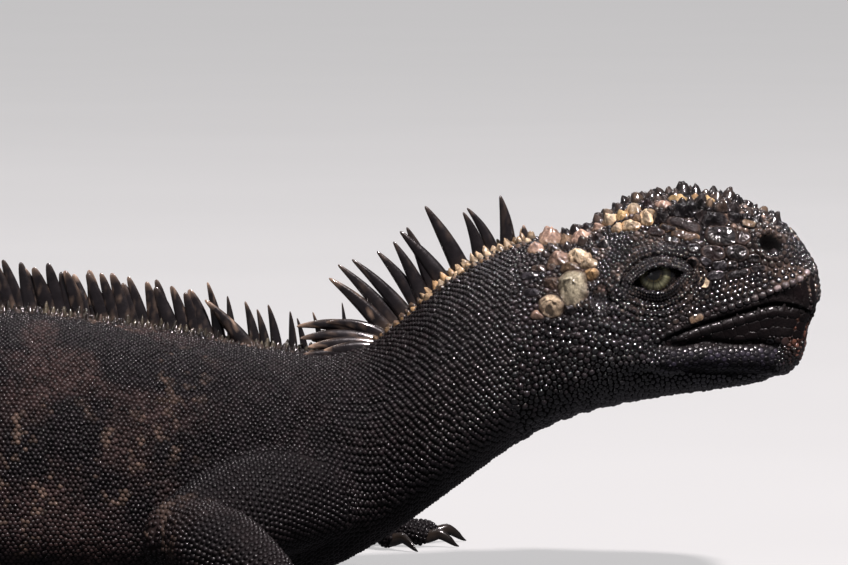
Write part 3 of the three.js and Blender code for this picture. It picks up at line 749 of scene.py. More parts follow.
def pigmented(name, rough, coat, coat_rough, bump, grain=900, mottle=(0.72, 1.25), lumps=320, coat_ior=1.62):
    """A wet, horny surface in the mesh's own pigment. A coat of two weights runs from dry to wet."""
    material, tree, shader = node_tree(name)
    pigment = add_node(tree, "ShaderNodeAttribute")
    pigment.attribute_name = "Pigment"
    level = spread(tree, noise_node(tree, lumps), "Fac", *mottle)
    link(tree, scaled(tree, pigment, "Color", level), "Vector", shader, "Base Color")
    roughness = spread(tree, noise_node(tree, 160, 3), "Fac", *rough)
    link(tree, roughness, "Result", shader, "Roughness")
    set_inputs(shader, {"Specular IOR Level": 0.15, "Coat Roughness": coat_rough, "Coat IOR": coat_ior})
    if isinstance(coat, tuple):
        axes = add_node(tree, "ShaderNodeSeparateXYZ")
        link(tree, add_node(tree, "ShaderNodeTexCoord"), "Object", axes, "Vector")
        dry, wet = (SNOUT_X - DRY_BEHIND) * MM, (SNOUT_X - WET_BEHIND) * MM
        link(tree, spread(tree, axes, "X", *coat, dry, wet), "Result", shader, "Coat Weight")
    else:
        shader.inputs["Coat Weight"].default_value = coat
    fine = noise_node(tree, grain, 5, 0.6)
    relief = add_node(tree, "ShaderNodeBump", {"Strength": bump, "Distance": 0.0004})
    link(tree, fine, "Fac", relief, "Height")
    link(tree, relief, "Normal", shader, "Normal")
    return material


skin_material = pigmented("wet_skin", (0.72, 0.92), 0, 0.3, 0.5)
scale_material = pigmented("wet_scale", (0.3, 0.58), (0.06, 1), 0.07, 0.35, 1400, (0.6, 1.4), coat_ior=1.85)
plate_material = pigmented("wet_plate", (0.3, 0.55), 0.55, 0.09, 0.6, 1900, (0.42, 1.35), lumps=850)
snout_material = pigmented("wet_snout", (0.34, 0.6), 0.45, 0.12, 0.6, 1700, (0.35, 1.6), lumps=700)
lip_material = pigmented("wet_lip", (0.38, 0.6), 0.22, 0.16, 0.5, 1500, (0.5, 1.5), lumps=260)
horn_material = pigmented("crest_horn", (0.22, 0.42), 0.9, 0.09, 0.35, 700, (0.7, 1.35))
claw_material = pigmented("claw_horn", (0.2, 0.36), 0.6, 0.1, 0.2, 600)

# Colours, as linear red, green and blue.
BLACK = (0.0046, 0.0032, 0.004)
BROWN = (0.02, 0.0118, 0.0115)
RUST = (0.028, 0.0165, 0.015)
GREY = (0.034, 0.025, 0.024)
CRUST = (0.1, 0.067, 0.05)
# The lips' own dark brown, darkened further as painted shade under the upper lip's overhang.
LIP_DARK_AND_SHADE = (0.0052, 0.003, 0.0032)
WET_FOLD = (0.007, 0.006, 0.0095)
CHIN = (0.05, 0.021, 0.014)
CREAM = (0.84, 0.65, 0.44)
PINK = (0.56, 0.37, 0.28)
YELLOW = (0.76, 0.52, 0.25)
OCHRE = (0.56, 0.35, 0.17)
DUN = (0.24, 0.16, 0.1)
DARK = (0.0075, 0.0052, 0.0056)
STONE = (0.5, 0.44, 0.31)
# Pale crust on the rims of the snout's plates, lightened as a painted highlight on the raised rims.
RIM_CRUST_AND_HIGHLIGHT = (0.085, 0.06, 0.052)
MOSS = (0.17, 0.145, 0.1)
SLATE = (0.035, 0.031, 0.036)
LIP_SEAM = (0.006, 0.004, 0.004)
# Pale lip scales, lightened further as a painted sheen.
LIP_EDGE_PALE_AND_SHEEN = (0.5, 0.39, 0.38)
# Near black: painted shade inside the nostril and along the line of the mouth.
HOLLOW_SHADE = (0.002, 0.0017, 0.0016)
HORN_DARK = (0.0105, 0.0085, 0.0095)
HORN_PALE = (0.36, 0.25, 0.18)
HORN_FOOT = (0.13, 0.09, 0.065)
CLAW_ROOT = (0.03, 0.022, 0.017)
CLAW_TIP = (0.012, 0.01, 0.009)


def mixed(a, b, share):
    share = np.asarray(share, float)[..., None]
    return np.asarray(a, float) * (1 - share) + np.asarray(b, float) * share


def skin_pigment(points):
    """The animal's markings at points in the frame's axes."""
    behind = SNOUT_X - points[:, 0]
    height = points[:, 2]
    broad = noise(points, 26, 3.1)
    fine = noise(points, 7, 8.3)
    patches = smooth(0.6 * broad + 0.4 * fine, 0.44, 0.62)
    trunk_share = smooth(behind, 165, 215)
    colour = mixed(BLACK, BROWN, patches * (0.15 + 0.75 * trunk_share))
    grey = smooth(noise(points, 13, 5.7), 0.5, 0.72) * trunk_share
    colour = mixed(colour, RUST, 0.8 * grey)
    flecks = smooth(noise(points, 2.6, 7.7), 0.66, 0.8) * smooth(noise(points, 17, 2.2), 0.45, 0.6)
    colour = mixed(colour, CRUST, 0.6 * (flecks * trunk_share))
    in_head = 1 - smooth(behind, 74, 88)
    crust = smooth(noise(points, 5, 1.9), 0.42, 0.68) * in_head * smooth(height, 79, 90)
    muzzle = 1 - smooth(behind, 26, 44)
    colour = mixed(colour, CRUST, (0.32 + 0.3 * muzzle) * crust)
    mouth = height - mouth_line(behind)
    lips = in_head * (1 - smooth(behind, MOUTH_CORNER, MOUTH_CORNER + 8))
    # The lips get their dark colour, which carries painted shade.
    colour = mixed(colour, LIP_DARK_AND_SHADE, lips * (1 - smooth(mouth, 4, 7)))
    fold = lips * (1 - smooth(height, 71, 73)) * smooth(height, 58, 62) * smooth(behind, 9, 15)
    colour = mixed(colour, WET_FOLD, fold)
    chin = in_head * (1 - smooth(behind, 7, 12)) * (1 - smooth(mouth, -5, -1))
    colour = mixed(colour, CHIN, chin)
    # Painted shade: the nostril and the line of the mouth are darkened to near black.
    hollow = 1 - smooth(nostril_share(behind, height), 0.95, 1.15)
    hollow = np.maximum(hollow, 1 - smooth(np.abs(mouth), 0.5, 1.3)) * in_head
    return mixed(colour, HOLLOW_SHADE, hollow * (behind < MOUTH_CORNER + 4))


# The nodes that the skin replaces.
FLESH = ["head", "lower_jaw", "neck", "torso"] + [f"tail_{number}" for number in range(1, 5)]
for sizes in LEG_SIZES.values():
    FLESH += [f"{name}_{side}" for name in sizes["names"] for side in ("left", "right")]

skin_points, skin_faces = joined_mesh(make_trunk(), [closed_tube(grid) for grid in leg_grids])
skin_points = fill_corners(skin_points, skin_faces)
skin = make_object("skin", skin_points, skin_faces, skin_material, "skin", skin_pigment(skin_points))
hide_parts(*FLESH)


# Places on the finished skin

from_skin = bvhtree.BVHTree.FromPolygons(skin_points.tolist(), skin_faces.tolist())
skin_normals = np.empty(len(skin_points) * 3, np.float32)
skin.data.vertices.foreach_get("normal", skin_normals)
skin_normals = skin_normals.reshape(-1, 3)


NOT_FOUND = 1e3
ABOVE_ALL = 200
# A line that passes over the skin's edge is tried again from places this much lower.
LOWER_TRIES = (0, 0.7, 1.4, 2.1, 2.8)


def on_skin(points, reach=4.0):
    """The nearest places on the skin, their outward directions, and how far off they were."""
    places, normals = np.zeros((2, len(points), 3))
    gaps = np.full(len(points), NOT_FOUND)
    for i, point in enumerate(points):
        place, _, face, gap = from_skin.find_nearest(point, reach)
        if place is not None:
            places[i], normals[i], gaps[i] = place, skin_normals[skin_faces[face]].mean(0), gap
    return places, unit(normals), gaps


def cast(start, way):
    """Where a line meets the skin, or no numbers if it doesn't."""
    place = from_skin.ray_cast(start, way)[0]
    return np.full(3, np.nan) if place is None else np.array(place)


def on_top(starts):
    return np.array([cast(start, (0, 0, -1)) for start in starts])


def on_side(places, side, seen=True):
    """Where level lines, or lines along the camera's sight, meet the skin, from places in the side view."""
    rise = math.radians(VIEW_ELEVATION) if seen else 0.0
    sight = np.array([0, -side * math.cos(rise), -math.sin(rise)])
    hits = []
    for behind, height in places:
        for lower in LOWER_TRIES:
            place = cast(np.array([SNOUT_X - behind, 0, height - lower]) - sight * ABOVE_ALL, sight)
            if not np.isnan(place[0]):
                break
        hits.append(place)
    return np.array(hits)


# Scales of the head: seeds, and the cells between them

HEAD_SCALES_TO = 92
HEAD_UNWRAP = (-3, HEAD_SCALES_TO + 5)
HEAD_TRIES = 170000
HEAD_FILL_TRIES = 120000
# Random turns of a scale go up to this, once round.
ANY_TURN = 6.3

# Outlines of scales from the foot to the top: [share of the reach, share of the rise].
DOME = [(1, None), (0.93, 0.3), (0.74, 0.74), (0.4, 0.96), (0, 1)]
FLAT = [(1, None), (0.9, 0.42), (0.62, 0.84), (0, 1)]
DISH = [
    (1.04, None), (1, 0.34), (0.95, 0.66), (0.88, 0.88), (0.78, 0.98), (0.62, 1), (0.44, 0.96),
    (0.22, 0.92), (0, 0.9),
]
PEAK = [
    (1.04, None), (0.98, 0.13), (0.9, 0.28), (0.78, 0.45), (0.63, 0.62), (0.48, 0.77), (0.33, 0.89),
    (0.16, 0.97), (0, 1),
]
FINE = [
    (1.04, None), (0.99, 0.2), (0.93, 0.42), (0.84, 0.62), (0.72, 0.77), (0.58, 0.88), (0.42, 0.95),
    (0.24, 1), (0, 1.03),
]
KNOB = [
    (1.04, None), (0.97, 0.14), (0.87, 0.34), (0.74, 0.54), (0.6, 0.72), (0.45, 0.86), (0.3, 0.96),
    (0.14, 1.03), (0, 1.06),
]
CONE = [(1, None), (0.94, 0.24), (0.83, 0.5), (0.66, 0.74), (0.45, 0.91), (0.2, 1.0), (0, 1.03)]

# Plates seen in their own places from the side. Each is
# [distance behind the snout, height, half length, half height, tilt, rise, colour, rim].
# The rim is each plate's colour at its foot: darker on most plates, as painted shade between them, and on
# the snout's plates mostly paler, crust with a painted highlight.
SNOUT_PLATES = [
    (41.4, 107.5, 5.6, 1.7, -20, 1.3, BROWN, RIM_CRUST_AND_HIGHLIGHT), (29.8, 103.9, 4.6, 2.8, -8, 1.5, DARK, RIM_CRUST_AND_HIGHLIGHT),
    (40.5, 104.1, 4.9, 1.3, -10, 1, CRUST, DUN), (23.3, 103.3, 1.9, 2.2, -40, 1.1, BROWN, RIM_CRUST_AND_HIGHLIGHT),
    (45.6, 106.3, 2.6, 1.2, -14, 0.9, BROWN, DUN), (32.4, 98.9, 3.3, 2.1, -10, 1.1, BROWN, RIM_CRUST_AND_HIGHLIGHT),
    (25.3, 99.1, 3.3, 2.3, -14, 1.3, DARK, RIM_CRUST_AND_HIGHLIGHT), (20.4, 97.4, 1.9, 1.2, -6, 0.9, DARK, RIM_CRUST_AND_HIGHLIGHT),
    (38, 100.3, 1.9, 1.5, 0, 0.9, DARK, GREY), (36.9, 102.4, 2.3, 1.1, -28, 0.9, BROWN, RIM_CRUST_AND_HIGHLIGHT),
    (30.3, 95.3, 2.2, 1.6, -8, 0.9, SLATE, GREY), (34.6, 96.8, 1.7, 1.6, 0, 0.9, SLATE, GREY),
    (26.7, 95.2, 1.6, 1.3, 0, 0.8, DARK, RIM_CRUST_AND_HIGHLIGHT), (25, 92.7, 4.2, 1.1, 14, 0.8, DARK, RIM_CRUST_AND_HIGHLIGHT),
    (19, 94.3, 2.7, 0.9, 8, 0.7, DARK, RIM_CRUST_AND_HIGHLIGHT), (31.4, 92.4, 2.6, 1.3, 10, 0.8, SLATE, GREY),
    (34.6, 89.6, 1.3, 1.5, 10, 0.9, CREAM, GREY), (38.4, 96.4, 1.6, 1.4, 0, 0.8, DARK, RIM_CRUST_AND_HIGHLIGHT),
    (44.6, 102.9, 2.2, 1.1, -12, 0.8, DARK, RIM_CRUST_AND_HIGHLIGHT), (37.4, 79.4, 2.2, 1.4, 16, 0.5, DUN, BROWN),
    (49, 105.4, 2.2, 1.2, -6, 0.9, BROWN, RIM_CRUST_AND_HIGHLIGHT), (21.7, 107.6, 2.3, 1.5, -20, 1, DUN, DARK),
]
CROWN_PLATES = [
    (40.6, 111.9, 4.1, 2.7, 8, 3, BLACK, BLACK), (32.1, 109.2, 4, 2.3, 0, 1.9, BLACK, GREY),
    (25.6, 109.6, 2.1, 2, 0, 2, BLACK, GREY), (47.8, 109.8, 3, 2.2, 0, 2.3, DARK, BROWN),
    (36.4, 110.6, 1.7, 1.8, 0, 1.7, GREY, BLACK), (29.8, 112.4, 2.5, 1.9, 0, 2.4, CRUST, BLACK),
    (22.2, 109.3, 1.9, 1.4, 0, 1.6, DARK, BLACK), (18.7, 108.9, 1.8, 1.4, 0, 1.5, DARK, BLACK),
    (44.9, 111.2, 1.9, 2, 0, 2.4, BROWN, BLACK), (51.4, 112.6, 2, 1.8, 0, 2.6, BROWN, BLACK),
    (26.2, 112, 2.3, 1.7, 0, 2.2, GREY, BLACK), (36, 113, 2, 1.5, 0, 2.3, DARK, BLACK),
]
CREAM_PLATES = [
    (56, 111.9, 2.5, 2, 0, 2.2, CREAM, OCHRE), (59.2, 110.2, 2.2, 1.9, 10, 2, YELLOW, OCHRE),
    (62.6, 108.8, 2.7, 2.2, 0, 2.3, CREAM, OCHRE), (60.4, 106.6, 2, 1.5, 0, 1.7, CREAM, OCHRE),
    (56.9, 107.2, 2.9, 1.8, 0, 2, CREAM, OCHRE), (51.7, 109.9, 2.3, 2.8, 0, 2.3, CREAM, OCHRE),
    (54.5, 109.3, 1.5, 1.6, 0, 1.4, DUN, BROWN), (42.3, 115, 3.3, 1.4, 0, 1.6, YELLOW, DUN),
    (37.3, 115.3, 2, 1.2, 0, 1.5, OCHRE, GREY), (33.6, 114.7, 2.2, 1.2, 0, 1.5, YELLOW, DUN),
    (66.2, 106.4, 1.9, 1.6, 0, 1.8, PINK, DUN), (47, 113.4, 2.4, 1.7, 0, 1.6, PINK, BROWN),
    (66.6, 103.6, 1.6, 1.4, 0, 1.3, BROWN, BLACK), (69.4, 106.4, 1.7, 1.5, 0, 1.7, BROWN, BLACK),
]
REAR_PLATES = [
    (80.1, 103.6, 3.3, 4.2, 0, 3.6, PINK, DUN), (84.8, 100.2, 2.4, 2.3, 0, 2.2, PINK, DUN),
    (75.6, 102.6, 2.2, 2.6, 0, 2.2, DUN, BROWN), (71.4, 103.4, 3.2, 3.2, 0, 2.7, PINK, CRUST),
    (77.7, 97, 3.4, 2.3, 6, 2.5, PINK, DUN), (72.2, 97.9, 3.6, 2.5, -8, 2.7, CREAM, DUN),
    (74.8, 94.6, 2.9, 2, 0, 1.8, DUN, BROWN), (69.5, 95.8, 2.6, 1.7, 6, 2, CREAM, DUN),
    (68.6, 92.8, 2.2, 2.1, 0, 1.9, OCHRE, CRUST), (74.1, 88.9, 4.3, 5.4, 8, 3.2, STONE, CRUST),
    (80.4, 83.2, 3.7, 3.5, 0, 2.8, CREAM, CRUST), (79.7, 90.1, 2.8, 1.7, -6, 1.6, CRUST, BROWN),
    (86.7, 92.3, 2.6, 1.2, 8, 1.3, SLATE, BLACK), (86.3, 87.4, 2.2, 1.2, 0, 1.2, SLATE, DARK),
    (84, 94.4, 2.3, 1.2, 0, 1.2, CRUST, BROWN), (75.6, 82.4, 2.1, 1.6, 0, 1.3, DARK, GREY),
    (80.6, 95, 1.8, 1.4, 0, 1.2, CRUST, BROWN), (84.4, 80.6, 2, 1.4, 0, 1.2, PINK, BROWN),
    (68.2, 99.6, 1.8, 1.5, 0, 1.3, BROWN, BLACK), (64.9, 101.6, 1.8, 1.4, 0, 1.1, DARK, BLACK),
]


# Rows of plates on the lower lip: [below the mouth, half length, half height].
LOWER_LIP_ROWS = [(2.5, 1.75, 1.5), (5.4, 1.9, 1.45), (8.2, 1.9, 1.3)]
# Small scales above the ridge of the upper lip: [above it, radius, where the row starts and ends].
LABIAL_ROWS = [(2.1, 1, 2.4, 46), (3.8, 0.9, 4, 38), (5.4, 0.85, 5, 35), (7, 0.8, 6, 31), (8.5, 0.8, 7, 26)]


def lip_plates():
    """The tall smooth panels of the upper lip, and three rows of broad ones on the lower."""
    plates = []
    # Both lips' plates take the dark lip colour, which carries painted shade.
    for behind in np.arange(2.2, 42, 2.5):
        low, high = float(mouth_line(behind)) + 0.9, float(lip_ridge(behind)) - 1.5
        tall = max((high - low) / 2, 0.7)
        plates.append((behind, (low + high) / 2, 1.28, tall, 8, 0.26, LIP_DARK_AND_SHADE, LIP_SEAM))
    for row, (drop, long, tall) in enumerate(LOWER_LIP_ROWS):
        for behind in np.arange(4.6 + 0.9 * row, 40 - 4.5 * row, long * 1.9):
            height = float(mouth_line(behind)) - drop
            if height > 74.2:
                plates.append((behind, height, long, tall, 0, 0.17, LIP_DARK_AND_SHADE, LIP_SEAM))
    return plates


# Plates, side, whether placed along the camera's sight, outline, roughness, how faceted, and material.
PLATE_GROUPS = [
    group for side in (-1, 1) for group in (
        (SNOUT_PLATES, side, True, DISH, 0.7, 0.3, snout_material),
        (CROWN_PLATES, side, True, KNOB, 0.6, 0.55, plate_material),
        (CREAM_PLATES + REAR_PLATES, side, True, PEAK, 0.45, 0.62, plate_material),
        (lip_plates(), side, False, FINE, 0.4, 0, lip_material),
    )
]


# Seeds on the side are [distance behind the snout, height, radius, rise, colour].
def labial_seeds():
    """The row of pale scales along the upper lip, their paleness partly a painted sheen, and five rows of
    smaller ones above it.
    """
    seeds = []
    for behind in np.arange(1.6, 44, 2.3):
        height = float(lip_ridge(behind)) - 0.1
        # Towards the snout the scales are pale, partly their own colour and partly a painted sheen.
        pale = (0.15 + 0.85 * rng.random()) * (1 - 0.92 * smooth(behind, 12, 22))
        seeds.append((behind, height, 1.3, 0.85, tuple(mixed(DARK, LIP_EDGE_PALE_AND_SHEEN, pale))))
    for row, (above, radius, low, high) in enumerate(LABIAL_ROWS):
        for behind in np.arange(low, high, radius * 2.05):
            height = float(lip_ridge(behind)) + above + rng.normal(0, 0.12)
            colour = mixed(DARK, CRUST, (0.5 - 0.07 * row) * rng.random() ** 2)
            seeds.append((behind + rng.normal(0, 0.12), height, radius, 0.55 * radius, tuple(colour)))
    return seeds


def ring_seeds(centre, half_long, half_tall, tilt, count, radius, rise, colour):
    """Beads evenly round an ellipse, as round a nostril."""
    turn = once_round(count)
    forward, up = tilted(half_long * np.cos(turn), half_tall * np.sin(turn), -tilt)
    return [(centre[0] - f, centre[1] + u, radius, rise, colour) for f, u in zip(forward, up)]


LID_ROWS = [
    # Distance from the edge, radius, above or below, rise
    (0.3, 0.38, 1, 0.34), (1.02, 0.42, 1, 0.36), (1.82, 0.44, 1, 0.38), (2.64, 0.44, 1, 0.38),
    (0.45, 0.42, -1, 0.34), (1.32, 0.48, -1, 0.4), (2.3, 0.5, -1, 0.44),
    (4.2, 0.6, 1, 0.46), (5.35, 0.64, 1, 0.5), (6.6, 0.68, 1, 0.55), (7.9, 0.7, 1, 0.55),
    (3.45, 0.52, -1, 0.42), (4.5, 0.6, -1, 0.5), (5.75, 0.62, -1, 0.44), (6.95, 0.68, -1, 0.52),
    (8.25, 0.7, -1, 0.46),
]


def lid_seeds():
    """Rows of beads on both lids, and the wider rows round the orbit."""
    seeds = []
    dense = np.linspace(0, 1, 721)
    forward, up = lid_edge(dense)
    along = unit(np.stack([np.gradient(forward), np.gradient(up)], -1))
    for offset, radius, half, rise in LID_ROWS:
        keep = (dense < 0.5) if half > 0 else (dense >= 0.5)
        f, u = (forward - along[:, 1] * offset)[keep], (up + along[:, 0] * offset)[keep]
        length = running_total(np.hypot(np.diff(f), np.diff(u)))
        places = np.arange(radius * 0.5, length[-1], radius * 1.95)
        f, u = tilted(np.interp(places, length, f), np.interp(places, length, u), -EYE["slope"])
        behind, height = EYE["behind"] - f, EYE["height"] + u
        uneven = 0.2 * float(smooth(offset, 2.8, 6))
        for b, h in zip(behind, height):
            b, h = b + rng.normal(0, uneven), h + rng.normal(0, uneven)
            tall = rise * rng.uniform(0.8, 1.3)
            colour = mixed(BLACK, CRUST, 0.5 * rng.random() ** 2)
            seeds.append((b, h, radius, tall, tuple(colour)))
    return seeds


# The knobs along the top of the head: [distance behind the snout, to the left, radius, rise].
CROWN_KNOBS = [
    (16.4, -2, 1.8, 1.5), (19.2, 1, 1.1, 1.6), (23.6, 0, 1.3, 2.4), (27.2, -1.5, 2.6, 3.4),
    (31.6, 1, 2.1, 5.2), (36.9, 0.5, 2.1, 4.8), (40.6, -1, 3, 4.9), (44.6, 2, 1.8, 3.6),
    (47.6, -0.5, 1.9, 5.6), (52.5, 0.5, 1.9, 5.4), (56.6, -0.8, 1.7, 4.6), (60.6, 1, 1.5, 3.4),
    (64.4, 0, 1.6, 2.6), (68.6, 0.5, 1.7, 3), (72.6, -0.5, 1.6, 3.2), (77, 0.5, 1.6, 2.6),
    (34.2, -4.6, 2.2, 4), (50, -4.6, 2, 4.4), (43.2, -5.2, 2.1, 3.6), (29.2, 5.4, 2, 3.4),
    (39.6, 5.2, 2.3, 4.2), (48.4, 5, 2.2, 4.8), (54.6, 4.6, 1.9, 4.2), (24.8, -5, 1.9, 2.4),
    (20.8, 4.6, 1.7, 2),
]


def crown_seeds():
    """Dark knobs and cones over the top of the head. Their second number is the distance to the left."""
    seeds = []
    for behind, left, size, tall in CROWN_KNOBS:
        tall = min(tall, 1.05 * size + 0.5)
        seeds.append((behind, left, size, tall, tuple(mixed(BLACK, CRUST, 0.6 * rng.random()))))
    for row, behind in enumerate(np.arange(14, 84, 2.7)):
        count = 11 if row > 4 else 7
        for i in range(count):
            across = (i + 0.5 * (row % 2)) / count * 2 - 1
            size = rng.uniform(1.35, 2.5)
            tall = size * rng.uniform(0.88, 1.3)
            place = (behind + rng.normal(0, 0.6), across * 15.5 + rng.normal(0, 0.6))
            if 48.5 < place[0] < 66 and abs(place[1]) > 6:
                continue
            colour = mixed(BLACK, CRUST, 0.75 * rng.random() ** 1.5)
            if rng.random() < 0.15:
                colour = mixed(colour, DUN, 0.7)
            seeds.append((*place, size, tall, tuple(colour)))
    return seeds


def head_radius(behind, height):
    """The size of the small scales that fill in between the others."""
    cheek = hump(behind - 66, 15) * hump(height - 76, 8)
    crown = smooth(height, 102, 109) * (1 - smooth(behind, 64, 76))
    snout = (1 - smooth(behind, 28, 46)) * smooth(height, 88, 94)
    throat = 1 - smooth(height, 60, 70)
    nape = smooth(behind, 70, 84)
    return 0.66 + 0.42 * cheek + 0.2 * crown + 0.14 * snout + 0.14 * nape + 0.14 * throat


def lip_share(behind, height):
    """1 on the smooth lips and chin, where scales are broad and flat."""
    mouth = height - mouth_line(behind)
    return ((behind < MOUTH_CORNER + 1) & (mouth < 3.4) & (height > 73.2)).astype(float)


def fold_share(places):
    """1 on the smooth roll of skin under the jaw."""
    behind, height = SNOUT_X - places[:, 0], places[:, 2]
    ragged = 5 * noise(places, 3.5)
    share = window(behind, 8 + ragged, 11 + ragged, 42 + 1.6 * ragged, 47 + 1.6 * ragged)
    low = 62.5 + 0.5 * ragged + 0.12 * np.maximum(behind - 30, 0)
    share = share * smooth(height, low - 1, low + 1) * (height < 73.2) * (np.abs(places[:, 1]) > 6)
    return np.where(lip_share(behind, height) > 0, 0, share)


def bare(behind, height, left):
    """Where no scale grows: the line of the mouth, the eye and the nostril."""
    mouth = height - mouth_line(behind)
    line = (behind < MOUTH_CORNER + 3) & (np.abs(mouth) < 0.75)
    eye = (lid_distance(behind, height)[0] < 0.12) & (np.abs(left) > 12)
    hole = (nostril_share(behind, height) < 1.02) & (np.abs(left) > 5)
    return line | eye | hole


class SeedGrid:
    """Remembers seeds by their place, to keep new ones clear of them."""

    SIZE = 4.5

    def __init__(self):
        self.cells = {}
        self.points, self.radii = [], []

    def key(self, point):
        return tuple(int(value // self.SIZE) for value in point)

    def clear_of(self, point, radius, share):
        kx, ky, kz = self.key(point)
        px, py, pz = point
        for x in (kx - 1, kx, kx + 1):
            for y in (ky - 1, ky, ky + 1):
                for z in (kz - 1, kz, kz + 1):
                    for ox, oy, oz, other in self.cells.get((x, y, z), ()):
                        reach = share * (radius + other)
                        if (px - ox) ** 2 + (py - oy) ** 2 + (pz - oz) ** 2 < reach * reach:
                            return False
        return True

    def add(self, point, radius):
        self.cells.setdefault(self.key(point), []).append((*point, radius))
        self.points.append(tuple(point))
        self.radii.append(radius)


def scattered(low, high, count):
    """Random places on the skin and their outward directions, evenly by area between two distances."""
    behind = SNOUT_X - skin_points[skin_faces][:, :, 0].mean(1)
    faces = skin_faces[(behind > low) & (behind < high)]
    a, b, c = np.moveaxis(skin_points[faces], 1, 0)
    area = np.linalg.norm(np.cross(b - a, c - a), axis=1)
    pick = np.searchsorted(np.cumsum(area) / area.sum(), rng.random(count))
    pick = np.minimum(pick, len(faces) - 1)
    s, t = rng.random((2, count, 1))
    over = s + t > 1
    s, t = np.where(over, 1 - s, s), np.where(over, 1 - t, t)
    places = a[pick] + s * (b - a)[pick] + t * (c - a)[pick]
    normals = unit(skin_normals[faces[pick]].mean(1))
    return places, normals


def plate_number(group, index):
    """A number for each plate of each group."""
    return group * 1000 + index


def plate_circles(plate):
    """Circles along a plate, given as its other seeds are, which keep small scales off it."""
    behind, height, long, tall, tilt = plate[:5]
    small, large = 1.12 * np.sort([long, tall])
    turn = math.radians(tilt if long >= tall else tilt + 90)
    count = max(int(math.ceil(large / small * 1.3)), 1)
    shifts = np.linspace(-1, 1, count) * (large - small) if count > 1 else [0]
    return [(behind - shift * math.cos(turn), height + shift * math.sin(turn), small) for shift in shifts]


def relaxed(points, radii, movable, rounds=4):
    """The movable seeds pushed apart until they lie evenly, and put back on the skin."""
    points = points.copy()
    for _ in range(rounds):
        tree = tree_of(points)
        near = np.array([[found[1] for found in tree.find_n(points[i], 8)[1:]] for i in movable])
        away = points[movable][:, None] - points[near]
        gap = np.linalg.norm(away, axis=-1, keepdims=True)
        wish = 1.12 * (radii[movable][:, None] + radii[near])[..., None]
        push = np.maximum(wish - gap, 0) / np.maximum(gap, 0.05) * away
        moved = points[movable] + 0.3 * push.sum(1)
        down, _, off = on_skin(moved)
        points[movable] = np.where((off < 3)[:, None], down, points[movable])
    return points


def head_seeds():
    """The head's seeds as places, radii, rises, colours, and the plate that each belongs to, or -1."""
    taken = SeedGrid()
    rises, colours, owners = [], [], []

    def add(points, seeds, share):
        """Takes the seeds that are on the skin and clear of those taken before."""
        for point, (_, owner, radius, rise, colour) in zip(points, seeds):
            if np.isnan(point[0]) or not taken.clear_of(point, radius, share):
                continue
            taken.add(point, radius)
            rises.append(rise)
            colours.append(colour)
            owners.append(owner)

    labials, lids = labial_seeds(), lid_seeds()
    nostril = (NOSTRIL["behind"], NOSTRIL["height"])
    inner_tone, outer_tone = tuple(mixed(GREY, CRUST, 0.4)), tuple(mixed(DARK, CRUST, 0.3))
    long, tall, tilt = NOSTRIL["long"], NOSTRIL["tall"], NOSTRIL["tilt"]
    rim = ring_seeds(nostril, long * 1.3, tall * 1.33, tilt, 15, 0.82, 0.75, inner_tone)
    rim += ring_seeds(nostril, long * 1.82, tall * 1.95, tilt, 17, 1.05, 0.7, outer_tone)
    ear = (EAR["behind"], EAR["height"])
    ear_rim = ring_seeds(ear, EAR["long"] * 1.2, EAR["tall"] * 1.16, 0, 20, 0.72, 0.45, DARK)
    for group, (plates, side, seen, *_) in enumerate(PLATE_GROUPS):
        circles = [
            (*circle, plate_number(group, i))
            for i, plate in enumerate(plates) for circle in plate_circles(plate)
        ]
        blocked = on_side([circle[:2] for circle in circles], side, seen)
        add(blocked, [(0, circle[3], circle[2], 0, None) for circle in circles], 0)
    blockers = len(taken.points)
    for side in (-1, 1):
        for seeds, share in ((rim, 0.72), (labials, 0.8), (lids, 0.82), (ear_rim, 0.75)):
            add(on_side([seed[:2] for seed in seeds], side, False), seeds, share)
    crown = crown_seeds()
    add(on_top([(SNOUT_X - behind, left, ABOVE_ALL) for behind, left, *_ in crown]), crown, 0.74)
    fixed = len(taken.points)
    places, _ = scattered(-1, HEAD_SCALES_TO, HEAD_TRIES)
    behind, height = SNOUT_X - places[:, 0], places[:, 2]
    keep = ~bare(behind, height, places[:, 1])
    places, behind, height = places[keep], behind[keep], height[keep]
    lip = lip_share(behind, height)
    fold = fold_share(places)
    flat = np.maximum(lip, fold)
    size = head_radius(behind, height) * (1 - flat) + 1.15 * lip + 0.82 * fold
    size = size * rng.uniform(0.8, 1.25, len(places))
    in_ear = (1 - smooth(ear_share(behind, height), 0.9, 1.05)) * (np.abs(places[:, 1]) > 12)
    size = size * (1 - in_ear) + 0.48 * in_ear
    rise = size * (0.78 * (1 - flat) + 0.11 * flat) * (1 - 0.75 * in_ear)
    add(places.tolist(), [(0, -1, r, tall, None) for r, tall in zip(size, rise)], 0.86)
    radii = taken.radii
    spread_out = relaxed(np.array(taken.points), np.array(radii), np.arange(fixed, len(radii)))
    taken = SeedGrid()
    for point, radius in zip(spread_out.tolist(), radii):
        taken.add(point, radius)
    places, _ = scattered(-1, HEAD_SCALES_TO, HEAD_FILL_TRIES)
    places = places[~bare(SNOUT_X - places[:, 0], places[:, 2], places[:, 1])]
    add(places.tolist(), [(0, -1, r, 0.5 * r, None) for r in rng.uniform(0.34, 0.5, len(places))], 0.92)
    points, radii = np.array(taken.points), np.array(taken.radii)
    vary = rng.uniform(0.2, 1.0, len(points)) ** 3 * 4.4
    ground = skin_pigment(points) * vary[:, None]
    colour = np.array([ground[i] if c is None else c for i, c in enumerate(colours)], float)
    owners = np.where(np.arange(len(points)) < blockers, owners, -1).astype(int)
    return points, radii, np.array(rises), colour, owners


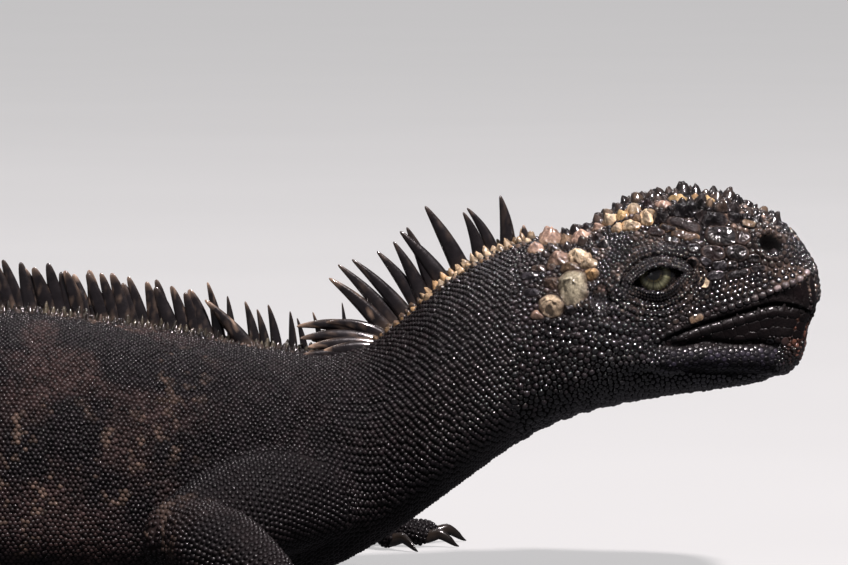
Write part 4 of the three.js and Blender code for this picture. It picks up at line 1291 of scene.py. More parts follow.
def fan_of_rays(normals, sides, turned):
    """Directions evenly round each normal, and their angles."""
    toward_tail = np.array([-1.0, 0, 0.05])
    first = unit(np.cross(normals, np.cross(toward_tail, normals)))
    second = np.cross(normals, first)
    turn = once_round(sides) + turned[:, None]
    rays = np.cos(turn)[..., None] * first[:, None] + np.sin(turn)[..., None] * second[:, None]
    return rays, turn


def cell_limit(points, radii, rays, use, others=14):
    """How far each used seed's cell reaches along its rays before it meets its neighbours'."""
    tree = tree_of(points)
    near = np.array([[found[1] for found in tree.find_n(points[i], others + 1)[1:]] for i in use])
    gap = points[near] - points[use][:, None]
    dot = np.einsum("nkc,nmc->nkm", gap, rays)
    lean = ((gap**2).sum(-1) + radii[use][:, None] ** 2 - radii[near] ** 2) / 2
    return np.where(dot > 0.1, lean[..., None] / np.maximum(dot, 0.1), 99).min(1)


# No point of a scale lies lower above the floor than this.
CLEARANCE = 0.02
# The size of each scale's own patch on the unwrap.
BAKE_PATCH = 0.0015


def cell_scales(points, normals, rays, turn, reach, rises, colours, rim_shade_and_light, outline, unwrap, rough, facet):
    """Solid scales that fill their cells and follow the skin: points, faces, pigments and places to bake."""
    sides = reach.shape[1]
    seed = rng.integers(1 << 30)
    lean = rays[:, 0] * rng.uniform(-0.3, 0.3, (len(points), 1)) + [0, 0, 0.16]
    lean = lean * reach.mean(1, keepdims=True) * (1 if facet else 0)
    outer = points[:, None] + rays * reach[..., None]
    down, _, gaps = on_skin(outer.reshape(-1, 3))
    down = np.where((gaps < 3)[:, None], down, outer.reshape(-1, 3)).reshape(outer.shape)
    arm = down - points[:, None]
    sag = (arm * normals[:, None]).sum(-1, keepdims=True)
    flat = arm - sag * normals[:, None]
    rings, inner, spots, loose = [], [], [], []
    dished = outline[-1][1] < 1
    for share, tall in outline:
        level = -0.22 - 0.1 * reach.mean(1) if tall is None else rises * tall
        level = np.repeat(level[:, None], sides, 1)
        if facet and tall is not None:
            level = level * facet_share(turn, share, facet, np.random.default_rng(seed))
        ring = points[:, None] + flat * share + normals[:, None] * (sag * share**2 + level[..., None])
        ring = ring + lean[:, None] * (1 - share)
        spot = unwrap[:, None] + BAKE_PATCH * share * np.stack([np.cos(turn), np.sin(turn)], -1)
        if share == 0:
            ring, spot = ring[:, :1], spot[:, :1]
        rings.append(ring)
        spots.append(spot)
        deep = float(smooth(0.96 - share, 0.04, 0.2)) if dished else 0 if tall is None else min(tall, 1)
        inner.append(np.full(ring.shape[1], deep))
        loose.append(np.full(ring.shape[1], 0 if tall is None else 1))
    solid, inner, loose = np.concatenate(rings, 1), np.concatenate(inner), np.concatenate(loose)
    if rough:
        lumps = noise(solid, 1.1) + 0.6 * noise(solid, 0.5, 4.0) - 0.8
        solid = solid + normals[:, None] * (rough * loose * lumps * rises[:, None])[..., None]
    solid[..., 2] = np.maximum(solid[..., 2], CLEARANCE)
    # Painted shade and light: the colour runs from the rim colour at each scale's foot to its own colour on
    # top.
    share = smooth(inner, 0.05, 0.75)[None, :, None]
    pigment = rim_shade_and_light[:, None] * (1 - share) + colours[:, None] * share
    # Painted light and shade: each flat side is made lighter or darker.
    if facet:
        facet_shades = painted_facet_shading(turn, np.random.default_rng(seed + 1))
        top = np.ones((len(points), 1))
        facet_shades = np.concatenate([np.tile(facet_shades, (1, len(outline) - 1)), top], 1)
        pigment = pigment * facet_shades[..., None]
    return solid, fan_faces(sides, len(outline) - 1), pigment, np.concatenate(spots, 1)


def facings(dice, count, sides, jitter=0.3):
    """The angles that the flat sides of scales face, nearly even once round each."""
    return once_round(sides, dice.uniform(-jitter, jitter, (count, sides)))


def painted_facet_shading(turn, dice):
    """Painted light and shade: how light each flat side of a scale is painted, at random."""
    count, sides = len(turn), 5
    facing = facings(dice, count, sides)
    facet_shades = dice.uniform(0.35, 1.25, (count, sides))
    nearest = np.cos(turn[:, :, None] - facing[:, None]).argmax(-1)
    return np.take_along_axis(facet_shades, nearest, 1)


def fan_faces(sides, rings):
    """Triangles of rings of equal length that close in one point."""
    quads = tube_faces(rings, sides)[:, ::-1]
    i = np.arange(sides)
    last = (rings - 1) * sides
    cap = np.stack([last + i, last + (i + 1) % sides, np.full(sides, rings * sides)], -1)
    return np.concatenate([halved(quads), cap])


def room_for(start, rays, far, own, others, steps=14):
    """How far rays from a plate's middle run before other seeds are nearer than the plate's own circles."""
    share = np.linspace(0.4, 1, steps)
    places = start + rays[:, None] * (far[:, None] * share)[..., None]

    def power(circles):
        points, radii = circles
        return (((places[:, :, None] - points) ** 2).sum(-1) - radii**2).min(-1)

    outside = power(own) > power(others)
    first = np.where(outside.any(1), outside.argmax(1), steps - 1)
    return far * share[first]


def corners(turn):
    """How far an outline of five nearly straight sides reaches, as shares of a round one."""
    count, sides = len(turn), 5
    facing = facings(rng, count, sides, 0.22) + rng.random((count, 1)) * ANY_TURN
    near = rng.uniform(0.95, 1.2, (count, sides))
    across = np.cos(turn[:, :, None] - facing[:, None]) * near[:, None]
    return np.clip(1 / np.maximum(across.max(-1), 0.1), 0.7, 1.3)


def plate_part(group, seeds):
    """Large plates as the side view shows them, as solids, faces, pigments and places to bake."""
    plates, side, seen, outline, rough, facet = PLATE_GROUPS[group][:6]
    seed_points, seed_radii, owners = seeds
    table = np.array([plate[:6] for plate in plates])
    hits = on_side(table[:, :2], side, seen)
    good = ~np.isnan(hits[:, 0])
    numbers = np.flatnonzero(good)
    table, hits = table[good], hits[good]
    colours = np.array([plate[6] for plate in plates], float)[good]
    rim_shade_and_light = np.array([plate[7] for plate in plates], float)[good]
    points, normals, _ = on_skin(hits)
    rays, turn = fan_of_rays(normals, 34, rng.random(len(points)) * ANY_TURN)
    lift = math.radians(VIEW_ELEVATION)
    up = np.array([0, -side * math.sin(lift), math.cos(lift)])
    ahead, rise = rays[..., 0], rays @ up
    tilt = np.radians(table[:, 4])[:, None]
    along, across = ahead * np.cos(tilt) + rise * np.sin(tilt), rise * np.cos(tilt) - ahead * np.sin(tilt)
    oval = 1 / np.hypot(along / table[:, 2:3], across / table[:, 3:4])
    column = (len(points), 1)
    wave = sum(
        rng.uniform(-0.06, 0.06, column) * np.cos(k * turn + rng.random(column) * 6) for k in (2, 3, 4, 5)
    )
    oval = np.minimum(oval, 1.5 * table[:, 2:4].max(1, keepdims=True)) * (1 + wave)
    if facet:
        oval = oval * corners(turn)
    reach = np.empty_like(oval)
    for i, number in enumerate(numbers):
        mine = owners == plate_number(group, number)
        near = ~mine & (np.linalg.norm(seed_points - points[i], axis=1) < 2.2 * oval[i].max() + 2)
        own = (seed_points[mine], seed_radii[mine])
        reach[i] = room_for(points[i], rays[i], 1.5 * oval[i], own, (seed_points[near], seed_radii[near]))
    reach = (reach + (np.roll(reach, 1, 1) + np.roll(reach, -1, 1)) * 0.4) / 1.8
    reach = 0.98 * np.minimum(reach, 1.6 * reach.min(1, keepdims=True) + 0.4 * reach.max(1, keepdims=True))
    shade = rng.uniform(0.85, 1.15, column)
    return cell_scales(points, normals, rays, turn, reach, table[:, 5], colours * shade, rim_shade_and_light * shade,
                       outline, unwrapped(points, *HEAD_UNWRAP), rough, facet)


def facet_share(turn, share, facet, dice):
    """1 at a scale's peak and less down its flat sides, which meet in soft edges."""
    count, sides = len(turn), 6
    facing = facings(dice, count, sides)
    slope = dice.uniform(0.55, 1.1, (count, sides))
    lift = dice.uniform(-0.16, 0.06, (count, sides))
    fall = share * np.cos(turn[:, :, None] - facing[:, None]) * slope[:, None] + lift[:, None]
    steepest = np.log(np.exp(10 * fall).sum(-1)) / 10
    return 1 - facet * np.clip(steepest, -0.1, 1)


COAT_LIMIT = 190000


def add_coat(name, parts, material=scale_material):
    """Joined meshes of many small solids, each mesh under the limit of triangles."""
    piles, size = [[]], 0
    for solid, faces, pigment, spots in parts:
        start = 0
        while start < len(solid):
            room = (COAT_LIMIT - size) // len(faces)
            if room < 1:
                piles.append([])
                size = 0
                continue
            end = min(start + room, len(solid))
            piles[-1].append((solid[start:end], faces, pigment[start:end], spots[start:end]))
            size += (end - start) * len(faces)
            start = end
    for number, pile in enumerate(piles, 1):
        points, faces, pigments, spots, first = [], [], [], [], 0
        for solid, face, pigment, spot in pile:
            count, each = solid.shape[:2]
            offset = first + np.arange(count)[:, None, None] * each
            faces.append((face[None] + offset).reshape(-1, 3))
            points.append(solid.reshape(-1, 3))
            pigments.append(pigment.reshape(-1, 3))
            spots.append(spot.reshape(-1, 2))
            first += count * each
        joined = [np.concatenate(pieces) for pieces in (points, faces, pigments, spots)]
        make_object(f"{name}_{number}", *joined[:2], material, "skin", *joined[2:])


def unwrapped(points, low, high):
    """Places on the skin's own unwrap: along the body, and round it."""
    behind = SNOUT_X - points[:, 0]
    middle = (top_line(behind) + bottom_line(behind)) / 2
    turn = np.arctan2(points[:, 2] - middle, points[:, 1]) / (2 * math.pi) % 1
    return np.stack([np.clip((behind - low) / (high - low), 0, 1), turn], -1) * 0.99 + 0.005


# Flat scales, beads, cones, and the flat scales of the lips: [sides, outline, how faceted].
HEAD_KINDS = [(7, FLAT, 0), (12, DOME, 0.42), (16, CONE, 0.62), (7, FLAT, 0)]
LIP_KIND = 3
PLATE_COATS = [
    ("plates_head", plate_material), ("plates_snout", snout_material), ("plates_lips", lip_material),
]


def make_head_scales():
    points, radii, rises, colours, owners = head_seeds()
    down, normals, _ = on_skin(points)
    drawn = owners < 0
    parts, dull = [], []
    smooth_skin = np.maximum(fold_share(points), lip_share(SNOUT_X - points[:, 0], points[:, 2])) > 0.5
    kind = np.where(rises > 0.85 * radii, 2, radii > 1.25)
    kind = np.where(smooth_skin & (kind == 0), LIP_KIND, kind)
    for number, (sides, outline, facet) in enumerate(HEAD_KINDS):
        use = np.flatnonzero(drawn & (kind == number))
        rays, turn = fan_of_rays(normals[use], sides, rng.random(len(use)) * ANY_TURN)
        size = radii[use][:, None]
        reach = np.clip(cell_limit(down, radii, rays, use), 0.45 * size, 1.25 * size) * 0.975
        tall = rises[use] * rng.uniform(0.8, 1.2, len(use))
        # Painted shade: the foot of each scale is darkened, as in the grooves between scales.
        rim_shade_and_light = 0.22 * colours[use] + 0.15 * skin_pigment(down[use])
        pile = dull if number == LIP_KIND else parts
        pile.append(cell_scales(down[use], normals[use], rays, turn, reach, tall, colours[use], rim_shade_and_light,
                                outline, unwrapped(down[use], *HEAD_UNWRAP), 0.34, facet))
    add_coat("scales_head", parts)
    add_coat("scales_lips", dull, lip_material)
    seeds = (points, radii, owners)
    for name, material in PLATE_COATS:
        groups = [number for number, group in enumerate(PLATE_GROUPS) if group[6] is material]
        add_coat(name, [plate_part(number, seeds) for number in groups], material)


# Beads and scales of the neck, body, tail and legs

def template(sides, outline):
    """One small solid scale: its points as [along, across, up], and its triangles."""
    turn = once_round(sides)
    points = []
    for share, tall in outline:
        ring = np.stack([share * np.cos(turn), share * np.sin(turn), np.full(sides, tall)], -1)
        points.append(ring if share else ring[:1])
    return np.concatenate(points), fan_faces(sides, len(outline) - 1)


BEAD = template(6, [(1.0, -0.5), (0.78, 0.6), (0, 1)])
PEBBLE = template(6, [(1.0, -0.5), (0, 1)])


def keeled():
    """A scale with a ridge along it that rises to a point at the rear."""
    turn = once_round(6)
    rim = np.stack([np.cos(turn), np.sin(turn) * 0.98, np.full(6, -0.4)], -1)
    ridge = [[-0.55, 0, 0.45], [0.6, 0, 1.0]]
    faces = [[0, 1, 7], [1, 2, 7], [2, 6, 7], [2, 3, 6], [3, 4, 6], [4, 7, 6], [4, 5, 7], [5, 0, 7]]
    return np.concatenate([rim, ridge]), np.array(faces)


KEELED = keeled()


def placed(shape, points, normals, toward, long, wide, tall, colours, unwrap, painted_foot_shade=0.5):
    """Copies of a template on the skin, as solids, faces, pigments and places to bake."""
    form, faces = shape
    first = unit(np.cross(normals, np.cross(toward, normals)))
    second = np.cross(normals, first)
    along, across, up = form.T
    solid = points[:, None] + first[:, None] * (along[None, :, None] * long[:, None, None])
    solid = solid + second[:, None] * (across[None, :, None] * wide[:, None, None])
    lift = np.where(up < 0, up, up * tall[:, None])
    solid = solid + normals[:, None] * lift[..., None]
    solid[..., 2] = np.maximum(solid[..., 2], CLEARANCE)
    # Painted shade and highlight: darker at each scale's foot, and lighter than its colour at the top.
    shade = np.where(up < 0, painted_foot_shade, painted_foot_shade + (1.15 - painted_foot_shade) * up)
    pigment = colours[:, None] * shade[None, :, None]
    spots = unwrap[:, None] + BAKE_PATCH * np.stack([along, across], -1)[None]
    return solid, faces, pigment, spots


ROW_MARKS = [92, 130, 150, 330, 392, 400, 700, 990]


def row_step(behind):
    """The gap between rows of scales across the trunk. Each row is offset, so a scale is twice as long."""
    return np.interp(behind, ROW_MARKS, [0.8, 0.8, 0.72, 0.75, 0.85, 2.0, 2.8, 2.6])


def scale_gap(behind):
    """The gap between neighbours in a row, on the back."""
    return np.interp(behind, ROW_MARKS, [2.7, 2.7, 2.45, 2.55, 2.8, 1.7, 1.7, 1.2])


def trunk_rows(low, high):
    """Seeds in rows across the trunk, as places and the gap between neighbours."""
    behind, places = low, []
    row = 0
    while behind < high:
        step, gap = float(row_step(behind)), float(scale_gap(behind))
        dense = even_angles(behind, 721)
        left, height = section(behind, dense)
        length = np.hypot(np.diff(left, append=left[:1]), np.diff(height, append=height[:1]))
        loose = 1 + 0.45 * smooth(-height, -18, 0)
        total = running_total(length / loose)
        count = max(int(round(total[-1] / gap)), 6)
        shares = (np.arange(count) + 0.5 * (row % 2) + rng.normal(0, 0.05, count)) / count * total[-1]
        angles = np.interp(shares, total, np.append(dense, dense[0] + 2 * math.pi))
        spot = behind + rng.normal(0, 0.09, count) * step
        left, height = section(spot, angles)
        places.append(np.column_stack([place_on_body(spot, left, height), np.full(count, gap)]))
        behind += step
        row += 1
    return np.concatenate(places)


def walked_along(points):
    return running_total(np.linalg.norm(np.diff(points, axis=0), axis=1))


def tube_rows(grid, spacing):
    """Seeds in rows along a limb's grid, with the limb's direction and the shares along and round it."""
    centres = grid.mean(1)
    walked = walked_along(centres)
    seeds, ways, shares = [], [], []
    for row, mark in enumerate(np.arange(spacing / 2, walked[-1], spacing)):
        index = np.interp(mark, walked, np.arange(len(grid)))
        low = min(int(index), len(grid) - 2)
        ring = grid[low] + (grid[low + 1] - grid[low]) * (index - low)
        closed = np.concatenate([ring, ring[:1]])
        length = walked_along(closed)
        count = int(length[-1] / spacing)
        if count < 5:
            continue
        where = (np.arange(count) + 0.5 * (row % 2) + rng.normal(0, 0.07, count)) % count
        where = where / count * length[-1]
        seeds.append(np.stack([np.interp(where, length, closed[:, axis]) for axis in range(3)], -1))
        ways.append(np.repeat(unit(centres[low + 1] - centres[low])[None], count, 0))
        shares.append(np.stack([np.full(count, mark / walked[-1]), where / length[-1]], -1))
    return np.concatenate(seeds), np.concatenate(ways), np.concatenate(shares)


def varied(points, low=0.7, high=1.35):
    return skin_pigment(points) * rng.uniform(low, high, len(points))[:, None]


# The edges of the regions behind the neck are mixed over this distance each way.
REGION_BLUR = 22
BODY_REGIONS = [
    ("scales_neck", 0, 134, BEAD), ("scales_back", 134, 336, BEAD), ("scales_hips", 336, 395, PEBBLE),
    ("scales_tail", 395, 2000, KEELED),
]
BODY_UNWRAP = (90, 960)


def make_body_scales():
    seeds = trunk_rows(HEAD_SCALES_TO + 0.6, TAIL_END - 3)
    gaps = seeds[:, 3]
    points, normals, off = on_skin(seeds[:, :3], 3)
    keep = (off < 1.7) & (points[:, 2] > 0.9)
    points, normals, gaps = points[keep], normals[keep], gaps[keep]
    behind = SNOUT_X - points[:, 0]
    tail = behind > 396
    steps = np.where(tail, row_step(behind), 2 * row_step(behind))
    gaps = np.where(tail, gaps, 0.62 * gaps)
    turn = heading(behind)
    toward = -np.stack([np.cos(turn), np.sin(turn), np.zeros(len(turn))], -1)
    size = rng.uniform(0.88, 1.12, len(points))
    flank = smooth(-points[:, 2], -50, -15) * smooth(behind, 140, 180)
    tall = rng.uniform(0.36, 0.56, len(points)) * gaps * (1 - 0.2 * flank)
    blurred = behind + rng.uniform(-REGION_BLUR, REGION_BLUR, len(points)) * (behind > 150)
    for name, low, high, shape in BODY_REGIONS:
        use = (blurred >= low) & (blurred < high)
        low, high = max(low - REGION_BLUR, BODY_UNWRAP[0]), min(high + REGION_BLUR, BODY_UNWRAP[1])
        long, wide = 0.65 * (steps * size)[use], 0.63 * (gaps * size)[use]
        # The last number is the painted shade at each scale's foot.
        part = placed(shape, points[use], normals[use], toward[use], long, wide, tall[use],
                      varied(points[use], 0.4, 1.9), unwrapped(points[use], low, high), 0.3)
        add_coat(name, [part])
    return points


LEG_SPACING = 1.75
TOE_SPACING = 1.35
FILL_RADIUS = 0.75
FILL_TRIES = 230000


def make_leg_scales(leg, taken):
    """Beads along a leg's lengths and toes, clear of the scales before them. Gives their places."""
    sizes = LEG_SIZES[leg["kind"]]
    parts, kept = [], []
    tree = tree_of(taken)
    for number, grid in enumerate(leg["grids"]):
        spacing = LEG_SPACING if number < 3 else TOE_SPACING
        seeds, ways, shares = tube_rows(grid, spacing)
        points, normals, off = on_skin(seeds, 2)
        keep = (off < 0.95) & (points[:, 2] > 0.7)
        index = np.flatnonzero(keep)
        gap = np.array([tree.find(points[i])[2] for i in index])
        index = index[gap > 0.85 * spacing]
        if not len(index):
            continue
        kept.append(points[index])
        tree = tree_of(np.concatenate([taken, *kept]))
        size = 0.57 * spacing * rng.uniform(0.88, 1.12, len(index))
        unwrap = (shares[index] + [number, 0]) * [1 / len(leg["grids"]), 0.98]
        tall = spacing * rng.uniform(0.3, 0.48, len(index))
        parts.append(placed(BEAD, points[index], normals[index], ways[index], size, size, tall,
                            varied(points[index]), unwrap))
    add_coat(f"scales_{sizes['names'][2]}_{leg['side']}", parts)
    return np.concatenate(kept)


def fill_gaps(taken):
    """Small scales wherever the rows have left the skin bare."""
    places, normals = scattered(HEAD_SCALES_TO - 2, BODY_UNWRAP[1], FILL_TRIES)
    tree = tree_of(taken)
    free = np.flatnonzero(places[:, 2] > 0.8)
    bare = np.array([tree.find(places[i])[2] for i in free])
    free = free[bare > 1.25]
    grid = SeedGrid()
    chosen = []
    for i in free:
        if grid.clear_of(places[i], FILL_RADIUS, 0.92):
            grid.add(places[i], FILL_RADIUS)
            chosen.append(i)
    points, normals = places[chosen], normals[chosen]
    size = rng.uniform(0.75, 0.98, len(points))
    toward = np.tile([-1.0, 0.02, 0.01], (len(points), 1))
    add_coat("scales_joints", [placed(BEAD, points, normals, toward, size, size, size * 0.7, varied(points),
                                      unwrapped(points, *BODY_UNWRAP))])


# The crest

# The shares of a blade's length, and its widths and thicknesses there.
BLADE_MARKS = [0, 0.1, 0.35, 0.6, 0.8, 0.92, 0.98, 1]
SLIM_BLADE = [1, 1, 0.88, 0.68, 0.44, 0.27, 0.16, 0.05]
FULL_BLADE = [1, 1, 0.94, 0.8, 0.6, 0.42, 0.27, 0.09]
BLADE_DEPTH = [1, 0.97, 0.84, 0.68, 0.5, 0.34, 0.2, 0.06]


def blade_part(root_behind, tip_behind, tip_height, chord, thick, tone, curl, shift, flop=0, sunk=2.2,
               widths=SLIM_BLADE):
    """One spine of the crest: a flat sabre with a rounded tip, as points, faces and pigments."""
    rings, sides = 15, 12
    base = float(top_line(root_behind) + keel(root_behind)) - sunk
    root = place_on_body(root_behind, shift, base)
    tip = place_on_body(tip_behind, shift + flop, tip_height)
    turn = float(heading(root_behind))
    left = np.array([-math.sin(turn), math.cos(turn), 0])
    axis = tip - root
    length = np.linalg.norm(axis)
    front = unit(np.cross(left, axis))
    bend = (root + tip) / 2 + front * curl * length
    t = np.concatenate([np.linspace(0, 0.9, rings - 4), [0.945, 0.975, 0.992, 0.999]])
    weights = np.stack([(1 - t) ** 2, 2 * t * (1 - t), t**2], -1)
    centres = weights @ np.array([root, bend, tip])
    directions = unit(np.gradient(centres, axis=0))
    across = unit(np.cross(left, directions))
    side = np.cross(directions, across)
    wide = chord * 0.56 * np.interp(t, BLADE_MARKS, widths)
    deep = thick / 2 * np.interp(t, BLADE_MARKS, BLADE_DEPTH)
    angle = once_round(sides)
    rib = 1 + 0.1 * np.cos(3 * angle + root_behind)
    wide_part = (wide[:, None] * np.cos(angle))[..., None] * across[:, None]
    deep_part = (deep[:, None] * np.sin(angle) * rib)[..., None] * side[:, None]
    grid = centres[:, None] + wide_part + deep_part
    points, faces = closed_tube(grid)
    edge = np.abs(np.cos(angle))[None] ** 3 * np.ones((rings, 1))
    run = t[:, None] * np.ones((1, sides))
    streak = noise(grid * [1.6, 1.6, 0.35], 1.0, root_behind)
    pale = 0.8 * smooth(run, 0.8, 1) + 0.35 * edge * smooth(run, 0.3, 0.9) + 0.6 * smooth(streak, 0.62, 0.85)
    colour = mixed(HORN_DARK, HORN_PALE, np.clip(tone * pale, 0, 1) ** 1.6)
    colour = mixed(colour, HORN_FOOT, 0.5 * (1 - smooth(run, 0.08, 0.26)) * (0.15 + 0.6 * tone))
    colour = colour.reshape(-1, 3)
    return points, faces, np.concatenate([colour, colour[:1], colour[-1:]])


# Blades in their own places. Each is [root and tip behind the snout, the tip's height, chord, thickness,
# paleness, curl, shift to the left]. In the clump behind the nape the tip also flops to the left.
NAPE = [
    (87.6, 88.4, 107.6, 3.2, 2, 1.2, 0, -0.6), (93, 95.4, 116.4, 4.4, 2.3, 0.3, 0.07, 0),
    (96.9, 105.3, 112.6, 3.6, 2.1, 0.35, 0.12, 0.5), (101.2, 106.5, 111.4, 4, 2.1, 0.3, 0.12, -0.5),
    (106.2, 117.9, 113.2, 5.2, 2.6, 0.35, 0.05, 0), (111.3, 125.4, 105.6, 5, 2.6, 0.3, 0.06, 0.4),
    (114.6, 123.4, 106.8, 4.6, 2.4, 0.3, 0.05, 0.9), (117.6, 127.4, 102.6, 4.4, 2.3, 0.3, 0.06, -0.7),
    (119.2, 132.3, 99.6, 4.4, 2.4, 0.35, 0.07, 0.3), (122.4, 139.8, 97.2, 4.4, 2.4, 0.4, 0.06, -0.3),
    (125.8, 144, 95.6, 4.6, 2.4, 0.45, 0.06, 0.3), (128.4, 146.7, 91.6, 4.8, 2.5, 1.3, 0.08, -0.5),
    (141.4, 142.8, 84.2, 1.9, 1.3, 0.3, 0.03, 0.2), (148.2, 151.6, 81.4, 2.2, 1.4, 1.1, 0.05, 0),
    (153.6, 156.3, 79.6, 2.2, 1.4, 0.3, 0.05, 0), (157.4, 158.4, 81.6, 2.6, 1.5, 0.3, 0.03, 0),
    (162.2, 165, 83.6, 3.2, 1.7, 0.5, 0.06, 0), (165.4, 168.3, 82.2, 3, 1.7, 0.4, 0.05, 0.4),
    (168.6, 171.9, 84.6, 3.4, 1.8, 0.7, 0.06, -0.2), (175.6, 177.2, 86.2, 2.8, 1.7, 0.3, 0.03, 0.3),
    (169.5, 183.9, 85.2, 4.6, 2.3, 1.6, 0.05, -2), (179.4, 183.2, 90.4, 3.6, 1.9, 0.8, 0.06, 0),
]
CLUMP = [
    (129.8, 156.4, 77, 5, 2.6, 1.2, 0.2, -1, 0.5), (130.8, 155.4, 73.6, 5, 2.6, 0.6, 0.16, -2.4, -1),
    (131.8, 153, 71.2, 5.2, 2.8, 1.4, 0.12, -3.4, -2.4),
    (133.6, 149.4, 75.4, 4.4, 2.4, 0.5, 0.16, 0.6, 1.6), (132.6, 148.6, 70, 5, 2.8, 1.5, 0.1, -4.4, -2.4),
    (135.8, 154.4, 69.2, 4.4, 2.4, 0.4, 0.04, -4.8, -2.6), (128.8, 147.6, 78.4, 4, 2.2, 0.7, 0.2, -2, -0.6),
    (137, 148.4, 72, 4, 2.2, 0.6, 0.12, -1.2, 0.4), (134.6, 152, 72.6, 4.6, 2.4, 0.3, 0.14, 1.6, 1.4),
    (138.4, 152.8, 69.6, 4, 2.2, 0.9, 0.06, -2.6, -1.2),
]


# The blades along the back and tail, from their first to their last: where, and how tall.
CREST_RUN = (183.4, 980)
CREST_MARKS = [183, 215, 245, 300, 330, 390, 520, 700, 850, 985]
CREST_HEIGHTS = [15, 15.6, 16.2, 14.4, 10.5, 7.5, 6.5, 4.6, 3.2, 1.6]


def make_crest():
    parts = [blade_part(*row) for row in NAPE] + [blade_part(*row, sunk=3.4) for row in CLUMP]
    behind, end = CREST_RUN
    while behind < end:
        tall = np.interp(behind, CREST_MARKS, CREST_HEIGHTS) * rng.uniform(0.88, 1.1)
        lean = math.radians(rng.uniform(9, 24) + 14 * smooth(behind, 300, 420))
        chord = np.interp(behind, [183, 300, 390, 700, 985], [4.2, 4.1, 4.6, 4.2, 2.2])
        chord = chord * rng.uniform(0.85, 1.15)
        thick = np.interp(behind, [183, 300, 400, 700, 985], [2.0, 1.9, 1.7, 1.2, 0.6])
        tone = rng.uniform(0.2, 1.0) ** 1.5 * (1 - 0.5 * smooth(behind, 330, 420))
        base = float(top_line(behind) + keel(behind))
        tip = (behind + tall * math.sin(lean), base + tall * math.cos(lean))
        curl, shift, flop = rng.uniform(0.02, 0.09), rng.normal(0, 0.22), rng.normal(0, 0.5)
        parts.append(blade_part(behind, *tip, chord, thick, tone, curl, shift, flop, 1.2, FULL_BLADE))
        gap = np.interp(behind, [183, 330, 400, 700, 985], [3.0, 3.1, 3.9, 4.4, 3.0])
        behind += gap * rng.uniform(0.8, 1.2)
    points, faces, pigment, first = [], [], [], 0
    for part_points, part_faces, colour in parts:
        points.append(part_points)
        faces.append(part_faces + first)
        pigment.append(colour)
        first += len(part_points)
    points, faces, pigment = [np.concatenate(pieces) for pieces in (points, faces, pigment)]
    make_object("crest", points, faces, horn_material, "skin", pigment)


# Rows of scales along the foot of the crest, on each side of it. Each is
# [start, end, step, distance from the crest, radius, rise, and the two colours that it is mixed from].
ROOT_ROWS = [
    (86.5, 119, 2.1, 1.7, 1.25, 2.3, CREAM, OCHRE), (87.6, 117, 1.9, 3.6, 1.15, 1.7, OCHRE, CREAM),
    (88, 113, 1.9, 5.4, 1.0, 1.1, OCHRE, CRUST), (119, 150, 1.9, 1.8, 1.1, 2.0, DUN, CRUST),
    (119, 141, 1.9, 3.7, 1.1, 1.3, OCHRE, BROWN), (150, 390, 1.9, 1.4, 1.1, 2.6, MOSS, DARK),
    (151, 388, 1.9, 2.9, 1.15, 1.8, CRUST, DARK), (152, 380, 1.9, 4.5, 1.0, 1.1, CRUST, BLACK),
]


def make_crest_roots():
    """Rough scales at the foot of the crest: cream and ochre on the nape, dull along the back."""
    seeds, pigments = [], []
    for low, high, step, off, radius, rise, one, other in ROOT_ROWS:
        for side in (-1, 1):
            behind = np.arange(low, high, step)
            behind = behind + rng.normal(0, 0.3, len(behind))
            left = side * (off + rng.normal(0, 0.35, len(behind)))
            hits = on_top(place_on_body(behind, left, ABOVE_ALL))
            size = radius * rng.uniform(0.75, 1.3, len(behind))
            tall = rise * rng.uniform(0.6, 1.4, len(behind))
            patch = smooth(noise(np.column_stack([behind, left, left]), 5, step), 0.3, 0.7)
            share = np.clip(0.5 * rng.random(len(behind)) + 0.6 * patch - 0.05, 0, 1)
            colour = mixed(one, other, share) * rng.uniform(0.5, 1.15, (len(behind), 1))
            seeds.append(np.column_stack([hits, size, tall]))
            pigments.append(colour)
    seeds, pigments = np.concatenate(seeds), np.concatenate(pigments)
    points, normals, _ = on_skin(seeds[:, :3])
    rays, turn = fan_of_rays(normals, 12, rng.random(len(points)) * ANY_TURN)
    radii = seeds[:, 3:4]
    reach = np.clip(cell_limit(points, seeds[:, 3], rays, np.arange(len(points))), 0.6 * radii, 1.5 * radii)
    # Painted shade: each scale's foot is a darker copy of its colour.
    part = cell_scales(points, normals, rays, turn, reach, seeds[:, 4], pigments, 0.3 * pigments, CONE,
                       unwrapped(points, 80, 395), 0.4, 0.5)
    add_coat("scales_crest_foot", [part], plate_material)


make_head_scales()
body_points = make_body_scales()
all_points = [body_points] + [make_leg_scales(leg, body_points) for leg in LEGS]
fill_gaps(np.concatenate(all_points))
make_crest()
make_crest_roots()


# Eyes and claws

# Angles from the line of sight, seen from the eye's middle. The colour ramp runs over RAMP_DEGREES.
PUPIL_DEGREES = 15
IRIS_DEGREES = 40
RAMP_DEGREES = 60
GAZE = dict(forward=-0.16, up=0.2)


